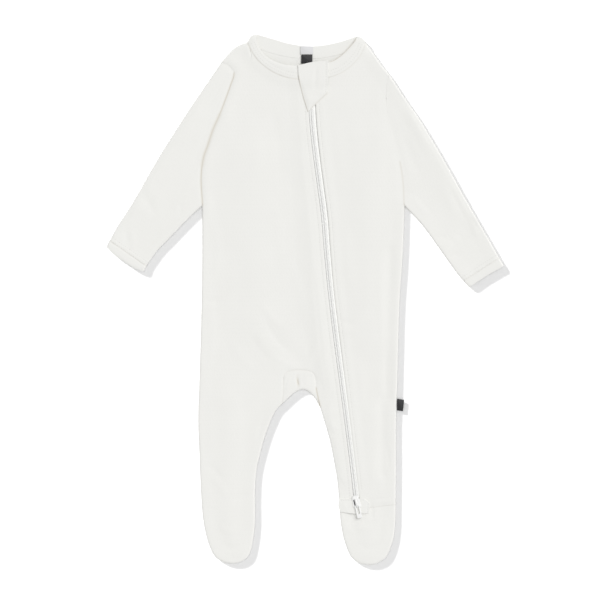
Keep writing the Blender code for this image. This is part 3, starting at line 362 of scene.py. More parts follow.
# Largest folds of the front and the sleeves: ends of each, half its width and its height
FOLDS = [
    # x0, y0, x1, y1, half_width, rise
    (-60, 150, -48, -20, 26, 1.34),
    (66, 170, 70, -40, 20, 1.34),
    (89, 50, 88, -104, 5, -0.68),
    (-38, -26, -4, -66, 6, -0.29),
    (-46, -42, -26, -72, 7, 0.34),
    (-80, -110, -80, -220, 16, 0.92),
    (82, -106, 82, -184, 5, -0.52),
    (70, -120, 72, -205, 8, 0.69),
    (-78, -238, -72, -262, 12, 0.8),
    (68, -236, 68, -264, 13, 0.8),
    (-112, 190, -165, 100, 14, 0.8),
    (-171, 112, -160, 94, 5, -0.57),
    (112, 190, 160, 95, 14, 0.69),
    (181, 84, 164, 66, 5, -0.57),
]
# Right front beside the zip, rising to a crest and falling away from it: where the crest lies at each level,
# its height and the width of its slope
FLAP = [
    # y, crest_x, rise, slope
    (-222, 20, 0.2, 8),
    (-165, 20, 0.2, 8),
    (-137, 28, 0.8, 8),
    (-106, 25.9, 1.4, 10),
    (-74.5, 20.8, 1.7, 12),
    (-43, 16.6, 1.9, 16),
    (-1, 12.2, 1.9, 18),
    (20, 10.2, 1.8, 18),
    (62, 6.8, 1.5, 17),
    (104, 2.4, 1.3, 15),
    (150, -2.6, 1.1, 14),
    (188, -5.2, 0.9, 11),
    (240, -8, 0.8, 11),
]
FLAP_CURVE = 1.4
FLAP_EDGE = 0.9
# Smaller creases, fading at both ends: where each runs, half its width and its height
CREASES = [
    # Right front
    ([(-88, 222), (-80, 190), (-84, 150)], 7, 0.3),
    ([(-62, 205), (-50, 160), (-54, 120)], 9, 0.26),
    ([(-40, 215), (-28, 170), (-24, 120)], 6, -0.26),
    ([(-96, 90), (-91, 50), (-95, 10)], 5, 0.3),
    ([(-99, 5), (-96, -40), (-101, -80)], 4.5, 0.3),
    ([(-106, -4), (-98, -2), (-88, -1)], 2, -0.35),
    ([(-104, -12), (-96, -9), (-90, -10)], 2.4, 0.26),
    ([(-70, 60), (-66, 20), (-70, -20)], 8, -0.22),
    ([(-30, 110), (-26, 60), (-20, 20)], 6, 0.22),
    ([(-12, 40), (-4, 0), (2, -40)], 5, 0.26),
    ([(6, 50), (10.2, 20), (12.2, -1), (16.6, -43), (20.8, -74.5), (25.9, -106), (27.6, -134)], 1.2, -0.5),
    ([(-44, -20), (-30, -42), (-10, -62)], 3.2, -0.35),
    ([(-34, -60), (-16, -70), (-4, -72)], 2.6, 0.3),
    ([(-62, -30), (-44, -56), (-28, -72)], 4, -0.26),
    ([(-80, -40), (-62, -66), (-48, -78)], 5, 0.26),
    ([(-50, 0), (-30, -24), (-14, -36)], 4, 0.22),
    ([(2, -76), (8, -60), (14, -40)], 3, 0.26),
    ([(-7.4, -76), (-7, -88), (-6.4, -101)], 0.9, -1.09),
    ([(-20.4, -106), (-20, -92), (-17.6, -80.6), (-12, -77.8), (-2, -77.2)], 0.8, -0.3),
    ([(-4.2, -76), (-3.6, -84), (-3.2, -94)], 0.9, -0.3),
    ([(-1.6, -75), (-1.2, -84), (-1.4, -93)], 0.8, -0.26),
    # Right leg and foot
    ([(-96, -95), (-98, -140), (-94, -180)], 5, 0.26),
    ([(-66, -95), (-60, -130), (-66, -170)], 6, -0.26),
    ([(-36, -112), (-44, -128), (-50, -150)], 3, -0.3),
    ([(-106, -172), (-94, -180), (-84, -194)], 3.4, -0.26),
    ([(-100, -186), (-88, -196), (-80, -210)], 4, 0.26),
    ([(-58, -200), (-66, -208), (-78, -212)], 3, -0.26),
    ([(-92, -236), (-80, -244), (-70, -243)], 3.5, 0.26),
    ([(-86, -258), (-76, -262), (-66, -258)], 2.6, -0.3),
    ([(-80, -270), (-73, -272), (-67, -268)], 1.8, -0.35),
    # Strip inside the left leg
    ([(23.6, -135.5), (28, -140), (33, -144)], 1.7, -0.43),
    ([(25, -129), (31, -134), (36, -136)], 2.2, 0.3),
    ([(34, -185), (38, -192), (43, -196)], 1.6, -0.35),
    ([(36, -200), (40, -204), (46, -207)], 1.5, -0.35),
    ([(35, -193), (40, -199), (46, -202)], 1.7, 0.26),
    ([(18, -118), (24, -110), (30, -96)], 2.4, -0.26),
    # Left front
    ([(32, 200), (38, 150), (40, 110)], 5, 0.26),
    ([(40, 90), (46, 40), (50, -10)], 6, 0.3),
    ([(60, 205), (64, 160), (60, 120)], 8, -0.26),
    ([(76, 190), (80, 150), (78, 110)], 6, 0.26),
    ([(94, 90), (92, 40), (90, -10)], 4, -0.26),
    ([(82, 60), (80, 0), (84, -60)], 3.5, 0.3),
    ([(30, -20), (42, -24), (54, -27)], 2.2, -0.3),
    ([(34, -30), (46, -34), (60, -33)], 2.8, 0.26),
    ([(86, -47), (85, -80), (86, -108)], 2.4, -0.3),
    ([(56, -60), (60, -90), (58, -120)], 5, 0.26),
    ([(64, -100), (70, -140), (66, -180)], 5, -0.22),
    ([(85, -150), (88, -166), (88, -182)], 2.2, -0.3),
    ([(76, -180), (80, -196), (78, -212)], 4, 0.26),
    ([(60, -206), (70, -212), (84, -208)], 2.6, -0.22),
    ([(70, -214.8), (82, -213.2), (94, -212.4)], 1, 0.36),
    # Left foot
    ([(69.4, -213), (70.2, -222), (69.8, -235)], 1.7, -0.7),
    ([(37, -226.4), (46, -227), (55, -227)], 2.4, -0.4),
    ([(34, -231), (46, -233), (60, -232)], 6, -0.4),
    ([(45, -225), (50, -229), (47, -237)], 2, -0.36),
    ([(40, -230), (44, -240), (52, -246)], 2.6, 0.29),
    ([(48, -234), (60, -240), (74, -238)], 3.4, 0.26),
    ([(56, -256), (66, -262), (78, -258)], 3, -0.26),
    ([(84, -228), (86, -244), (80, -258)], 3, 0.26),
    # Right sleeve
    ([(-176, 109), (-180, 103), (-185, 96.6)], 2.2, -0.39),
    ([(-172, 100), (-178, 94), (-184, 86)], 3, 0.3),
    ([(-189, 76), (-187, 66), (-186, 56)], 2.4, -0.35),
    ([(-182, 74), (-180, 62), (-178, 50)], 3, 0.3),
    ([(-131, 104), (-130, 94), (-133, 84)], 2.6, -0.26),
    ([(-104, 208), (-120, 180), (-136, 150)], 6, 0.26),
    ([(-96, 196), (-108, 160), (-122, 128)], 4, -0.3),
    ([(-112, 132), (-128, 110), (-144, 92)], 4.5, 0.26),
    ([(-150, 128), (-160, 108), (-166, 90)], 4, -0.22),
    ([(-150, 72), (-158, 62), (-168, 54)], 2.6, -0.26),
    # Left sleeve
    ([(182, 81), (184, 76), (187, 70)], 2, -0.39),
    ([(176, 84), (178, 74), (182, 64)], 2.8, 0.3),
    ([(134, 60), (140, 64), (150, 66)], 2.2, -0.3),
    ([(147.5, 40), (154, 45), (164, 48)], 2.2, -0.3),
    ([(140, 50), (148, 56), (158, 58)], 2.8, 0.26),
    ([(104, 206), (118, 180), (134, 148)], 5, 0.26),
    ([(100, 180), (112, 150), (122, 124)], 4.5, -0.26),
    ([(140, 130), (152, 104), (162, 80)], 5, 0.26),
    ([(150, 120), (164, 94), (174, 74)], 3, -0.26),
    ([(112, 112), (120, 98), (134, 84)], 3.4, 0.26),
]
# Soft creases of the back, all of them lifted off the floor
BACK_CREASES = [
    ([(-74, 214), (-66, 170), (-70, 120)], 6, 0.45),
    ([(40, 205), (30, 160), (36, 110)], 7, 0.4),
    ([(-84, 88), (-60, 80), (-30, 84)], 3.5, 0.4),
    ([(20, 66), (50, 58), (84, 64)], 4, 0.45),
    ([(-90, 20), (-72, -10), (-66, -50)], 5, 0.4),
    ([(76, 10), (62, -20), (60, -60)], 4.5, 0.45),
    ([(-40, -30), (-28, -50), (-20, -66)], 3, 0.4),
    ([(22, -34), (16, -50), (10, -64)], 2.8, 0.4),
    ([(-96, -100), (-74, -108), (-50, -104)], 3.2, 0.4),
    ([(32, -106), (52, -114), (80, -108)], 3.6, 0.4),
    ([(-92, -170), (-76, -176), (-62, -170)], 3, 0.4),
    ([(52, -168), (66, -176), (84, -170)], 3, 0.4),
    ([(-84, -214), (-76, -236), (-80, -256)], 3.6, 0.35),
    ([(62, -214), (70, -236), (66, -256)], 3.6, 0.35),
]
# Dips of the front into its armhole seams, with the body's ridge beside them
ARMHOLES = [
    # line, dip, dip_width, ridge, ridge_at, ridge_width
    (ARMHOLE_RIGHT, 0.4, 2.4, 0.35, 6, 5),
    (ARMHOLE_LEFT, 0.3, 5, 0.1, 8, 6),
]
CUFF_SEAM_RIGHT = np.array([CUFF_RIGHT_OUTER[0], CUFF_RIGHT_UNDER[0]])
CUFF_SEAM_LEFT = np.array([CUFF_LEFT_UNDER[0], CUFF_LEFT_OUTER[0]])
# Dips of the cloth into the other seams, or rises to a binding: the line, its depth and half its width
SEAM_DIPS = [
    (NECK_SEAM_RIGHT, -1, 8),
    (NECK_SEAM_LEFT, -1, 8),
    (CUFF_SEAM_RIGHT, -0.7, 6),
    (CUFF_SEAM_LEFT, -0.7, 6),
    (ANKLE_SEAM, 0.2, 1.3),
    (GUSSET_TOP, 0.3, 1.3),
    (GUSSET_RIGHT, 0.4, 1.3),
    (GUSSET_LEFT, 0.35, 1.4),
]
GUSSET_FOLD = np.array([(-7.2, -80.2), (-6.9, -92.8)])
LEG_RIGHT_TOP = np.array([SIDE_RIGHT[-1], GUSSET_TOP[0]])
# Painted shade: lines along the gaps between pieces, where the cloth's colour is darkened towards ochre to
# stand in for the shade deep in them. Columns: the line, half its width and its strength
BODY_SHADE_LINES = [
    (ARMHOLE_RIGHT[16:], 0.9, 0.34),
    (ARMHOLE_RIGHT[40:68], 1.7, 0.24),
    (ARMHOLE_LEFT[42:], 0.8, 0.16),
    (NECK_SEAM_RIGHT, 0.6, 0.12),
    (NECK_SEAM_LEFT, 0.6, 0.08),
    (GUSSET_LEFT[6:], 0.8, 0.35),
    (GUSSET_RIGHT, 0.6, 0.05),
    (GUSSET_TOP, 0.6, 0.04),
    (GUSSET_FOLD, 0.6, 0.35),
    (CUFF_SEAM_RIGHT, 0.5, 0.1),
    (CUFF_SEAM_LEFT, 0.5, 0.06),
    (ANKLE_SEAM, 0.6, 0.05),
    (ZIP_EDGE_LEFT, 0.45, 0.05),
]
# Painted ochre shade along the neckband's seams and its free edge, as in the table above
BAND_SHADE_LINES = [
    (NECK_SEAM_RIGHT, 0.6, 0.12),
    (NECK_SEAM_LEFT, 0.6, 0.08),
    (NECK_EDGE_LEFT[4:36], 0.7, 0.4),
]
# Painted shade along the chin guard's left edge and its tip, as in the table above
GUARD_SHADE_LINES = [(GUARD_LEFT_EDGE[6:], 0.6, 0.35), (GUARD_TIP_EDGE[3:], 1.3, 0.12)]


def run_along(line):
    """Distance from the start of a line to each of its points."""
    steps = np.linalg.norm(np.diff(line, axis=0), axis=1)
    return np.concatenate([[0.0], np.cumsum(steps)])


def along(line, fractions):
    """Points at the given fractions of a line's length."""
    run = run_along(line)
    place = np.asarray(fractions) * run[-1]
    return np.column_stack([np.interp(place, run, line[:, axis]) for axis in (0, 1)])


def line_length(line):
    return run_along(line)[-1]


def join(*lines):
    """One line from several, each starting where the one before it ends."""
    return np.vstack([lines[0], *[line[1:] for line in lines[1:]]])


def moved(line, x, y=0.0):
    return line + np.array([x, y])


def offset(line, step):
    """The line moved sideways, to its left where the step is above zero."""
    way = np.gradient(line, axis=0)
    way /= np.linalg.norm(way, axis=1)[:, None]
    return line + np.reshape(step, (-1, 1)) * np.column_stack([-way[:, 1], way[:, 0]])


def at_level(line, y):
    """Point of a falling line at a level."""
    return np.array([np.interp(-y, -line[:, 1], line[:, 0]), y])


def between(line, high, low):
    """Part of a falling line between two levels."""
    inside = line[(line[:, 1] < high - TINY) & (line[:, 1] > low + TINY)]
    return np.vstack([at_level(line, high), inside, at_level(line, low)])


def fractions(length, spacing, first=(), last=()):
    """Fractions from 0 to 1 along a length, evenly spaced between the close steps at its two ends."""
    start = first[-1] if first else 0.0
    end = length - (last[-1] if last else 0.0)
    middle = np.linspace(start, end, max(1, round((end - start) / spacing)) + 1)[1:-1]
    return np.array([0.0, *first, *middle, *([end] if last else []),
                     *[length - step for step in reversed(last[:-1])], length]) / length


def counted(length, count, last):
    """A given number of fractions from 0 to 1, even but for the close steps at the end."""
    even = np.linspace(0.0, length - last[-1], count - len(last))
    return np.array([*even, *[length - step for step in reversed(last[:-1])], length]) / length


def sampled(*parts):
    """Points along several joined lines, each with its own fractions."""
    return join(*[along(line, steps) for line, steps in parts])


def spread(points):
    """Fractions of a sampled line's length at which its points lie."""
    run = run_along(points)
    return run / run[-1]


def coons(left, right, top, bottom, across, down, lean):
    """Grid of plan points between four sampled sides, in rows from the top side to the bottom side.

    Above 1, the lean keeps the turns of the left side close to it.
    """
    u = 1 - (1 - np.asarray(across)[None, :, None]) ** lean
    v = np.asarray(down)[:, None, None]
    sides = (1 - u) * left[:, None] + u * right[:, None]
    ends = (1 - v) * top[None] + v * bottom[None]
    corners = (1 - u) * ((1 - v) * top[0] + v * bottom[0]) + u * ((1 - v) * top[-1] + v * bottom[-1])
    return sides + ends - corners


def fitted(left, right, top, bottom, across, down, lean=1.0):
    """Grid whose sides start and end at the ends of its top and bottom."""
    sides = [np.vstack([top[column:][:1], side[1:-1], bottom[column:][:1]])
             for column, side in ((0, left), (-1, right))]
    return coons(*sides, top, bottom, across, down, lean)


def block(left, right, top, bottom, across, down):
    """Grid of plan points between four lines, sampled at the same fractions of each."""
    return fitted(along(left, down), along(right, down), along(top, across), along(bottom, across),
                  across, down)


def nearest(points, line):
    """Plan distance from each point to a line, and the share of its length at which it is met."""
    start = line[:-1]
    step = line[1:] - start
    square = (step * step).sum(1)
    run = run_along(line)
    gap = np.empty(len(points))
    share = np.empty(len(points))
    for first in range(0, len(points), CHUNK):
        part = slice(first, first + CHUNK)
        reach = points[part, None, :2] - start[None]
        place = np.clip((reach * step).sum(2) / square, 0.0, 1.0)
        gaps = np.linalg.norm(reach - place[..., None] * step, axis=2)
        best = gaps.argmin(1)
        row = np.arange(len(best))
        gap[part] = gaps[row, best]
        share[part] = (run[best] + place[row, best] * np.diff(run)[best]) / run[-1]
    return gap, share


def distance_to(points, line):
    return nearest(points, line)[0]


OUTLINE = [
    join(SHOULDER_RIGHT, SLEEVE_RIGHT_OUTER, CUFF_RIGHT_OUTER),
    join(CUFF_RIGHT_UNDER[::-1], SLEEVE_RIGHT_UNDER[::-1], SIDE_RIGHT, LEG_RIGHT_OUTER, TOE_RIGHT,
         LEG_RIGHT_INNER[::-1], CROTCH_ARCH, LEG_LEFT_INNER, FOOT_LEFT_INNER, TOE_LEFT,
         FOOT_LEFT_OUTER[::-1], LEG_LEFT_OUTER[::-1], SIDE_LEFT[::-1], SLEEVE_LEFT_UNDER,
         CUFF_LEFT_UNDER),
    join(SHOULDER_LEFT, SLEEVE_LEFT_OUTER, CUFF_LEFT_OUTER),
]


def distance_to_outline(points):
    return np.min([distance_to(points, line) for line in OUTLINE], axis=0)


def ease(value):
    """Smooth step from 0 to 1."""
    share = np.clip(value, 0.0, 1.0)
    return share * share * (3 - 2 * share)


def roll(distance):
    """Height of the rolled edge over the seam level, at a distance in from the outline."""
    inside = EDGE_RADIUS - np.minimum(distance, EDGE_RADIUS)
    return np.sqrt(EDGE_RADIUS ** 2 - inside ** 2)


def fold_height(points):
    """Sum of the largest soft ridges and troughs at each point."""
    height = np.zeros(len(points))
    for x0, y0, x1, y1, half_width, rise in FOLDS:
        gap = distance_to(points, np.array([(x0, y0), (x1, y1)]))
        height += rise * np.exp(-(gap / half_width) ** 2)
    return height


def crease_height(points, creases):
    """Sum of the smaller creases at each point, each fading out towards its ends."""
    height = np.zeros(len(points))
    for corners, half_width, rise in creases:
        line = smooth_line(corners, CREASE_STEPS)
        low = line.min(0) - CREASE_REACH * half_width
        high = line.max(0) + CREASE_REACH * half_width
        near = np.flatnonzero(((points > low) & (points < high)).all(1))
        gap, share = nearest(points[near], line)
        fade = ease(CREASE_FADE * share) * ease(CREASE_FADE * (1 - share))
        height[near] += rise * fade * np.exp(-(gap / half_width) ** 2)
    return height


def armhole_height(points, on_body):
    """Dip into the armhole seams, and the body's ridge beside them."""
    height = np.zeros(len(points))
    for line, dip, dip_width, ridge, ridge_at, ridge_width in ARMHOLES:
        gap = distance_to(points, line)
        height -= dip * np.exp(-(gap / dip_width) ** 2)
        if on_body:
            height += ridge * np.exp(-((gap - ridge_at) / ridge_width) ** 2)
    return height


def seam_dip(points):
    """Depth to which the cloth is drawn down at the other seams."""
    return sum(depth * np.exp(-(distance_to(points, line) / half_width) ** 2)
               for line, depth, half_width in SEAM_DIPS)


def stitch_dip(points, rows):
    """Depth to which rows of sewing pull the cloth down."""
    depths = [STITCH_DIP * np.exp(-(distance_to(points, row) / STITCH_DIP_WIDTH) ** 2) for row in rows]
    return np.max(depths, axis=0) if depths else np.zeros(len(points))


def gap_shade_share(points, gaps):
    """Share of painted shade at each point, from 0 to 1, by how deep in a gap between two pieces it lies."""
    shade_share = np.zeros(len(points))
    for line, half_width, strength in gaps:
        shade_share = np.maximum(shade_share, strength * np.exp(-(distance_to(points, line) / half_width) ** 2))
    return shade_share


def zip_height(points, edge):
    """Ridge of a front's folded edge over the zip tape, rolled down at the edge itself."""
    gap = distance_to(points, edge)
    if edge is ZIP_EDGE_RIGHT:
        level, crest, rise, slope = np.array(FLAP).T
        x, y = points.T
        beyond = np.interp(y, level, crest) - x
        share = gap / (gap + np.maximum(-beyond, 0.0) + TINY)
        down = np.clip(beyond / np.interp(y, level, slope), 0.0, 1.0)
        ridge = (FLAP_EDGE + (np.interp(y, level, rise) - FLAP_EDGE) * share) * (1 - down) ** FLAP_CURVE
    else:
        ridge = ZIP_RIDGE * (1 - ease((gap - ZIP_RIDGE_FLAT) / ZIP_RIDGE_WIDTH))
    return ridge - ZIP_ROLL * (1 - ease(gap / ZIP_ROLL_WIDTH))


def pressed(points, height):
    """The height, held down round the zip's end."""
    low = ease((points - np.array(PRESSED_FROM)) / PRESSED_EASE + 1).prod(1)
    high = ease((np.array(PRESSED_TO) - points) / PRESSED_EASE + 1).prod(1)
    return height - low * high * np.maximum(height - PRESSED_LEVEL, 0.0)


def front_height(points, edge=None, on_body=True, rows=(), seam_gap=SEAM_GAP):
    """Level of the middle of the top layer."""
    gap = distance_to_outline(points)
    inner = -SETTLE * ease((gap - EDGE_RADIUS) / SETTLE_WIDTH) + fold_height(points)
    inner += crease_height(points, CREASES) + armhole_height(points, on_body)
    inner -= seam_dip(points) + stitch_dip(points, rows)
    if edge is not None:
        inner += zip_height(points, edge)
    inner = np.maximum(inner, DEEPEST) * ease(gap / EDGE_BLEND)
    level = EDGE_LEVEL + np.maximum(roll(gap), seam_gap / 2)
    return pressed(points, level + inner)


def back_height(points):
    """Level of the middle of the bottom layer, on the floor but for its creases and its rolled edge."""
    gap = distance_to_outline(points)
    lift = np.clip(crease_height(points, BACK_CREASES), 0.0, HIGHEST_BACK) * ease(gap / EDGE_BLEND)
    neck = np.exp(-(distance_to(points, BACK_NECK_SEAM) / BACK_NECK_RISE_WIDTH) ** 2)
    lift += BACK_NECK_RISE * neck * ease(gap / EDGE_BLEND)
    return EDGE_LEVEL - np.maximum(roll(gap), SEAM_GAP / 2) + lift


# Lengths and widths over which the rows and columns of the cloth's points are spread
ARMHOLE_LENGTH = 160.0
TORSO_LENGTH = ARMPIT_Y - CROTCH_Y
LEG_SIZE = (87.0, 190.0)
FOOT_SIZE = (58.0, 54.0)
GUSSET_SIZE = (42.0, 26.0)
GUARD_SIZE = (30.0, 44.0)
PATCH_SIZE = (32.0, 15.0)
GUSSET_HALF_WIDTH = 17.0
STRIP_WIDTH = 24.0
LEFT_FRONT_SIZE = (62.0, 315.0)
BACK_BAND_LENGTH = 130.0

# Fractions shared by the grids that meet along a line
ARMHOLE_ROWS = fractions(ARMHOLE_LENGTH, ROW_SPACING, EDGE_STEPS, EDGE_STEPS)
TORSO_ROWS = fractions(TORSO_LENGTH, ROW_SPACING)
LEG_ROWS = fractions(LEG_SIZE[1], ROW_SPACING, (), EDGE_STEPS)
LEG_COLUMNS = fractions(LEG_SIZE[0], COLUMN_SPACING, EDGE_STEPS, EDGE_STEPS)
FOOT_ROWS = fractions(FOOT_SIZE[1], ROW_SPACING, SEAM_STEPS, EDGE_STEPS)
FOOT_COLUMNS = fractions(FOOT_SIZE[0], COLUMN_SPACING, EDGE_STEPS, EDGE_STEPS)
GUSSET_COLUMNS = fractions(GUSSET_SIZE[0], COLUMN_SPACING)
STRIP_COLUMNS = fractions(STRIP_WIDTH, COLUMN_SPACING, EDGE_STEPS, ZIP_STEPS)
OUTER_COLUMNS = fractions(LEFT_FRONT_SIZE[0], COLUMN_SPACING, ZIP_STEPS, EDGE_STEPS)
LEFT_FRONT_ROWS = fractions(LEFT_FRONT_SIZE[1], ROW_SPACING, (), SEAM_STEPS)
BACK_ARMHOLE_ROWS = fractions(ARMHOLE_LENGTH, BACK_SPACING, EDGE_STEPS, EDGE_STEPS)
BACK_TORSO_ROWS = fractions(TORSO_LENGTH, BACK_SPACING)
BACK_LEG_ROWS = fractions(LEG_SIZE[1], BACK_SPACING, (), EDGE_STEPS)
BACK_LEG_COLUMNS = fractions(LEG_SIZE[0], BACK_SPACING, EDGE_STEPS, EDGE_STEPS)
BACK_GUSSET_COLUMNS = fractions(GUSSET_SIZE[0], BACK_SPACING)
CROTCH_ROWS = fractions(GUSSET_SIZE[1], CROTCH_SPACING, (), EDGE_STEPS)
CROTCH_COLUMNS = fractions(GUSSET_SIZE[0], CROTCH_SPACING)
BACK_BAND_COLUMNS = fractions(BACK_BAND_LENGTH, BACK_BAND_SPACING)
GUARD_COLUMNS, GUARD_ROWS = [fractions(size, TRIM_SPACING, ZIP_STEPS[:4], ZIP_STEPS[:4])
                             for size in GUARD_SIZE]
PATCH_COLUMNS, PATCH_ROWS = [fractions(size, PATCH_SPACING) for size in PATCH_SIZE]
CHEST_LEAN = 4.0
SHOULDER_COUNT = 16
BACK_SHOULDER_COUNT = 10
BAND_STEPS = np.array([0.0, 0.03, 0.08, 0.16, 0.28, 0.42, 0.58, 0.72, 0.84, 0.92, 0.97, 1.0])


def front_right_grids():
    """Right front with its leg to the toe, and the strip inside the left leg up to the zip."""
    edge = ZIP_EDGE_RIGHT
    armhole = offset(ARMHOLE_RIGHT, SEAM_GAP / 2)
    strip_top = np.array([GUSSET_TOP[-1], at_level(edge, CROTCH_Y)])
    crotch_row = sampled((LEG_RIGHT_TOP, LEG_COLUMNS), (GUSSET_TOP, GUSSET_COLUMNS),
                         (strip_top, STRIP_COLUMNS))
    across = spread(crotch_row)
    neck_steps = counted(line_length(NECK_SEAM_RIGHT), len(across) - SHOULDER_COUNT + 1, ZIP_STEPS)
    neckline = sampled((SHOULDER_RIGHT[::-1], np.linspace(0.0, 1.0, SHOULDER_COUNT)),
                       (NECK_SEAM_RIGHT, neck_steps))
    neckline[0] = armhole[0]
    armpit_row = along(np.array([SIDE_RIGHT[0], at_level(edge, ARMPIT_Y)]), across)
    chest = fitted(along(armhole, ARMHOLE_ROWS), along(between(edge, edge[0, 1], ARMPIT_Y), ARMHOLE_ROWS),
                   neckline, armpit_row, across, ARMHOLE_ROWS, CHEST_LEAN)
    waist = fitted(along(SIDE_RIGHT, TORSO_ROWS), along(between(edge, ARMPIT_Y, CROTCH_Y), TORSO_ROWS),
                   armpit_row, crotch_row, across, TORSO_ROWS)
    leg = block(LEG_RIGHT_OUTER, join(GUSSET_RIGHT, LEG_RIGHT_INNER), LEG_RIGHT_TOP, TOE_RIGHT,
                LEG_COLUMNS, LEG_ROWS)
    inner = join(GUSSET_LEFT, LEG_LEFT_INNER)
    strip = block(between(inner, CROTCH_Y, FLAP_Y), between(edge, CROTCH_Y, FLAP_Y), strip_top,
                  np.array([at_level(inner, FLAP_Y), edge[-1]]), STRIP_COLUMNS, LEG_ROWS)
    return [chest, waist, leg, strip]


def front_left_grids():
    """Left front, from the neck seam to the ankle seam."""
    edge = ZIP_EDGE_LEFT
    armhole = offset(ARMHOLE_LEFT, -SEAM_GAP / 2)
    armpit_line = np.array([at_level(edge, ARMPIT_Y), SIDE_LEFT[0]])
    neck_steps = counted(line_length(NECK_SEAM_LEFT), len(OUTER_COLUMNS) - SHOULDER_COUNT + 1, ZIP_STEPS)
    neckline = sampled((NECK_SEAM_LEFT[::-1], 1 - neck_steps[::-1]),
                       (SHOULDER_LEFT, np.linspace(0.0, 1.0, SHOULDER_COUNT)))
    neckline[-1] = armhole[0]
    chest = fitted(along(between(edge, edge[0, 1], ARMPIT_Y), ARMHOLE_ROWS), along(armhole, ARMHOLE_ROWS),
                   neckline, along(armpit_line, OUTER_COLUMNS), OUTER_COLUMNS, ARMHOLE_ROWS)
    lower = block(between(edge, ARMPIT_Y, edge[-1, 1]), join(SIDE_LEFT, LEG_LEFT_OUTER), armpit_line,
                  moved(ANKLE_SEAM[1:], 0.0, SEAM_GAP / 2), OUTER_COLUMNS, LEFT_FRONT_ROWS)
    return [chest, lower]


def foot_left_grids():
    """Top of the left foot, from the ankle seam to the toe."""
    return [block(FOOT_LEFT_INNER, FOOT_LEFT_OUTER, moved(ANKLE_SEAM, 0.0, -SEAM_GAP), TOE_LEFT,
                  FOOT_COLUMNS, FOOT_ROWS)]


def back_grids():
    """Back of the body and of both legs, from the neck seam to the toes."""
    right_armhole = offset(ARMHOLE_RIGHT, SEAM_GAP / 2)
    left_armhole = offset(ARMHOLE_LEFT, -SEAM_GAP / 2)
    left_top = np.array([GUSSET_TOP[-1], SIDE_LEFT[-1]])
    crotch_row = sampled((LEG_RIGHT_TOP, BACK_LEG_COLUMNS), (GUSSET_TOP, BACK_GUSSET_COLUMNS),
                         (left_top, BACK_LEG_COLUMNS))
    across = spread(crotch_row)
    shoulder_steps = np.linspace(0.0, 1.0, BACK_SHOULDER_COUNT)
    neck_steps = np.linspace(0.0, 1.0, len(across) - 2 * BACK_SHOULDER_COUNT + 2)
    neckline = sampled((SHOULDER_RIGHT[::-1], shoulder_steps), (BACK_NECK_SEAM, neck_steps),
                       (SHOULDER_LEFT, shoulder_steps))
    neckline[0] = right_armhole[0]
    neckline[-1] = left_armhole[0]
    armpit_row = along(np.array([SIDE_RIGHT[0], SIDE_LEFT[0]]), across)
    shoulders = fitted(along(right_armhole, BACK_ARMHOLE_ROWS), along(left_armhole, BACK_ARMHOLE_ROWS),
                       neckline, armpit_row, across, BACK_ARMHOLE_ROWS, CHEST_LEAN)
    seat = fitted(along(SIDE_RIGHT, BACK_TORSO_ROWS), along(SIDE_LEFT, BACK_TORSO_ROWS), armpit_row,
                  crotch_row, across, BACK_TORSO_ROWS)
    right_leg = block(LEG_RIGHT_OUTER, join(GUSSET_RIGHT, LEG_RIGHT_INNER), LEG_RIGHT_TOP, TOE_RIGHT,
                      BACK_LEG_COLUMNS, BACK_LEG_ROWS)
    left_leg = block(join(GUSSET_LEFT, LEG_LEFT_INNER, FOOT_LEFT_INNER),
                     join(LEG_LEFT_OUTER, FOOT_LEFT_OUTER), left_top, TOE_LEFT, BACK_LEG_COLUMNS,
                     BACK_LEG_ROWS)
    return [shoulders, seat, right_leg, left_leg]


def gusset_grid():
    """Front half of the crotch gusset, which is folded to the back over the crotch."""
    centre = GUSSET_TOP[:, 0].mean()

    def narrowed(line, drop):
        inside = (line[:, 0] - centre) * (1 - SEAM_GAP / GUSSET_HALF_WIDTH) + centre
        return np.column_stack([inside, line[:, 1] - drop])

    return block(narrowed(GUSSET_RIGHT, SEAM_GAP), narrowed(GUSSET_LEFT, SEAM_GAP),
                 narrowed(GUSSET_TOP, SEAM_GAP), narrowed(CROTCH_ARCH, 0.0), CROTCH_COLUMNS, CROTCH_ROWS)


def sleeve_head(armhole):
    """Distance of a sleeve's end from the armhole line, wider at the armpit where both edges roll over."""
    to_armpit = np.linalg.norm(armhole - armhole[-1], axis=1)
    return SEAM_GAP / 2 + ARMPIT_CLEARANCE * (1 - ease(to_armpit / ARMPIT_BLEND))


def sleeve_grid(side):
    """Front half of a sleeve, from the armhole to the cuff."""
    if side == "right":
        head, columns = offset(ARMHOLE_RIGHT, -sleeve_head(ARMHOLE_RIGHT)), ARMHOLE_ROWS
        left, right = SLEEVE_RIGHT_OUTER, SLEEVE_RIGHT_UNDER
    else:
        head, columns = offset(ARMHOLE_LEFT, sleeve_head(ARMHOLE_LEFT))[::-1], 1 - ARMHOLE_ROWS[::-1]
        left, right = SLEEVE_LEFT_UNDER, SLEEVE_LEFT_OUTER
    end = offset(np.array([left[-1], right[-1]]), SEAM_GAP / 2)
    rows = fractions(line_length(left) / 2 + line_length(right) / 2, ROW_SPACING, SEAM_STEPS, SEAM_STEPS)
    return block(left, right, head, end, columns, rows)


def cuff_grid(side):
    """Front half of a cuff's ring."""
    if side == "right":
        left, right, end = CUFF_RIGHT_OUTER, CUFF_RIGHT_UNDER, CUFF_RIGHT_END
    else:
        left, right, end = CUFF_LEFT_UNDER, CUFF_LEFT_OUTER, CUFF_LEFT_END
    start = offset(np.array([left[0], right[0]]), -SEAM_GAP / 2)
    columns = fractions(line_length(start), TRIM_SPACING, EDGE_STEPS, EDGE_STEPS)
    return block(left, right, start, end, columns, BAND_STEPS)


def cuff_height(points, start, end):
    """Level of a cuff's top layer: a soft binding, rounded along both of its edges."""
    crown = np.minimum(distance_to(points, start), distance_to(points, end))
    return CUFF_LEVEL + roll(distance_to_outline(points)) - BAND_CROWN * (1 - ease(crown / BAND_CROWN_WIDTH))


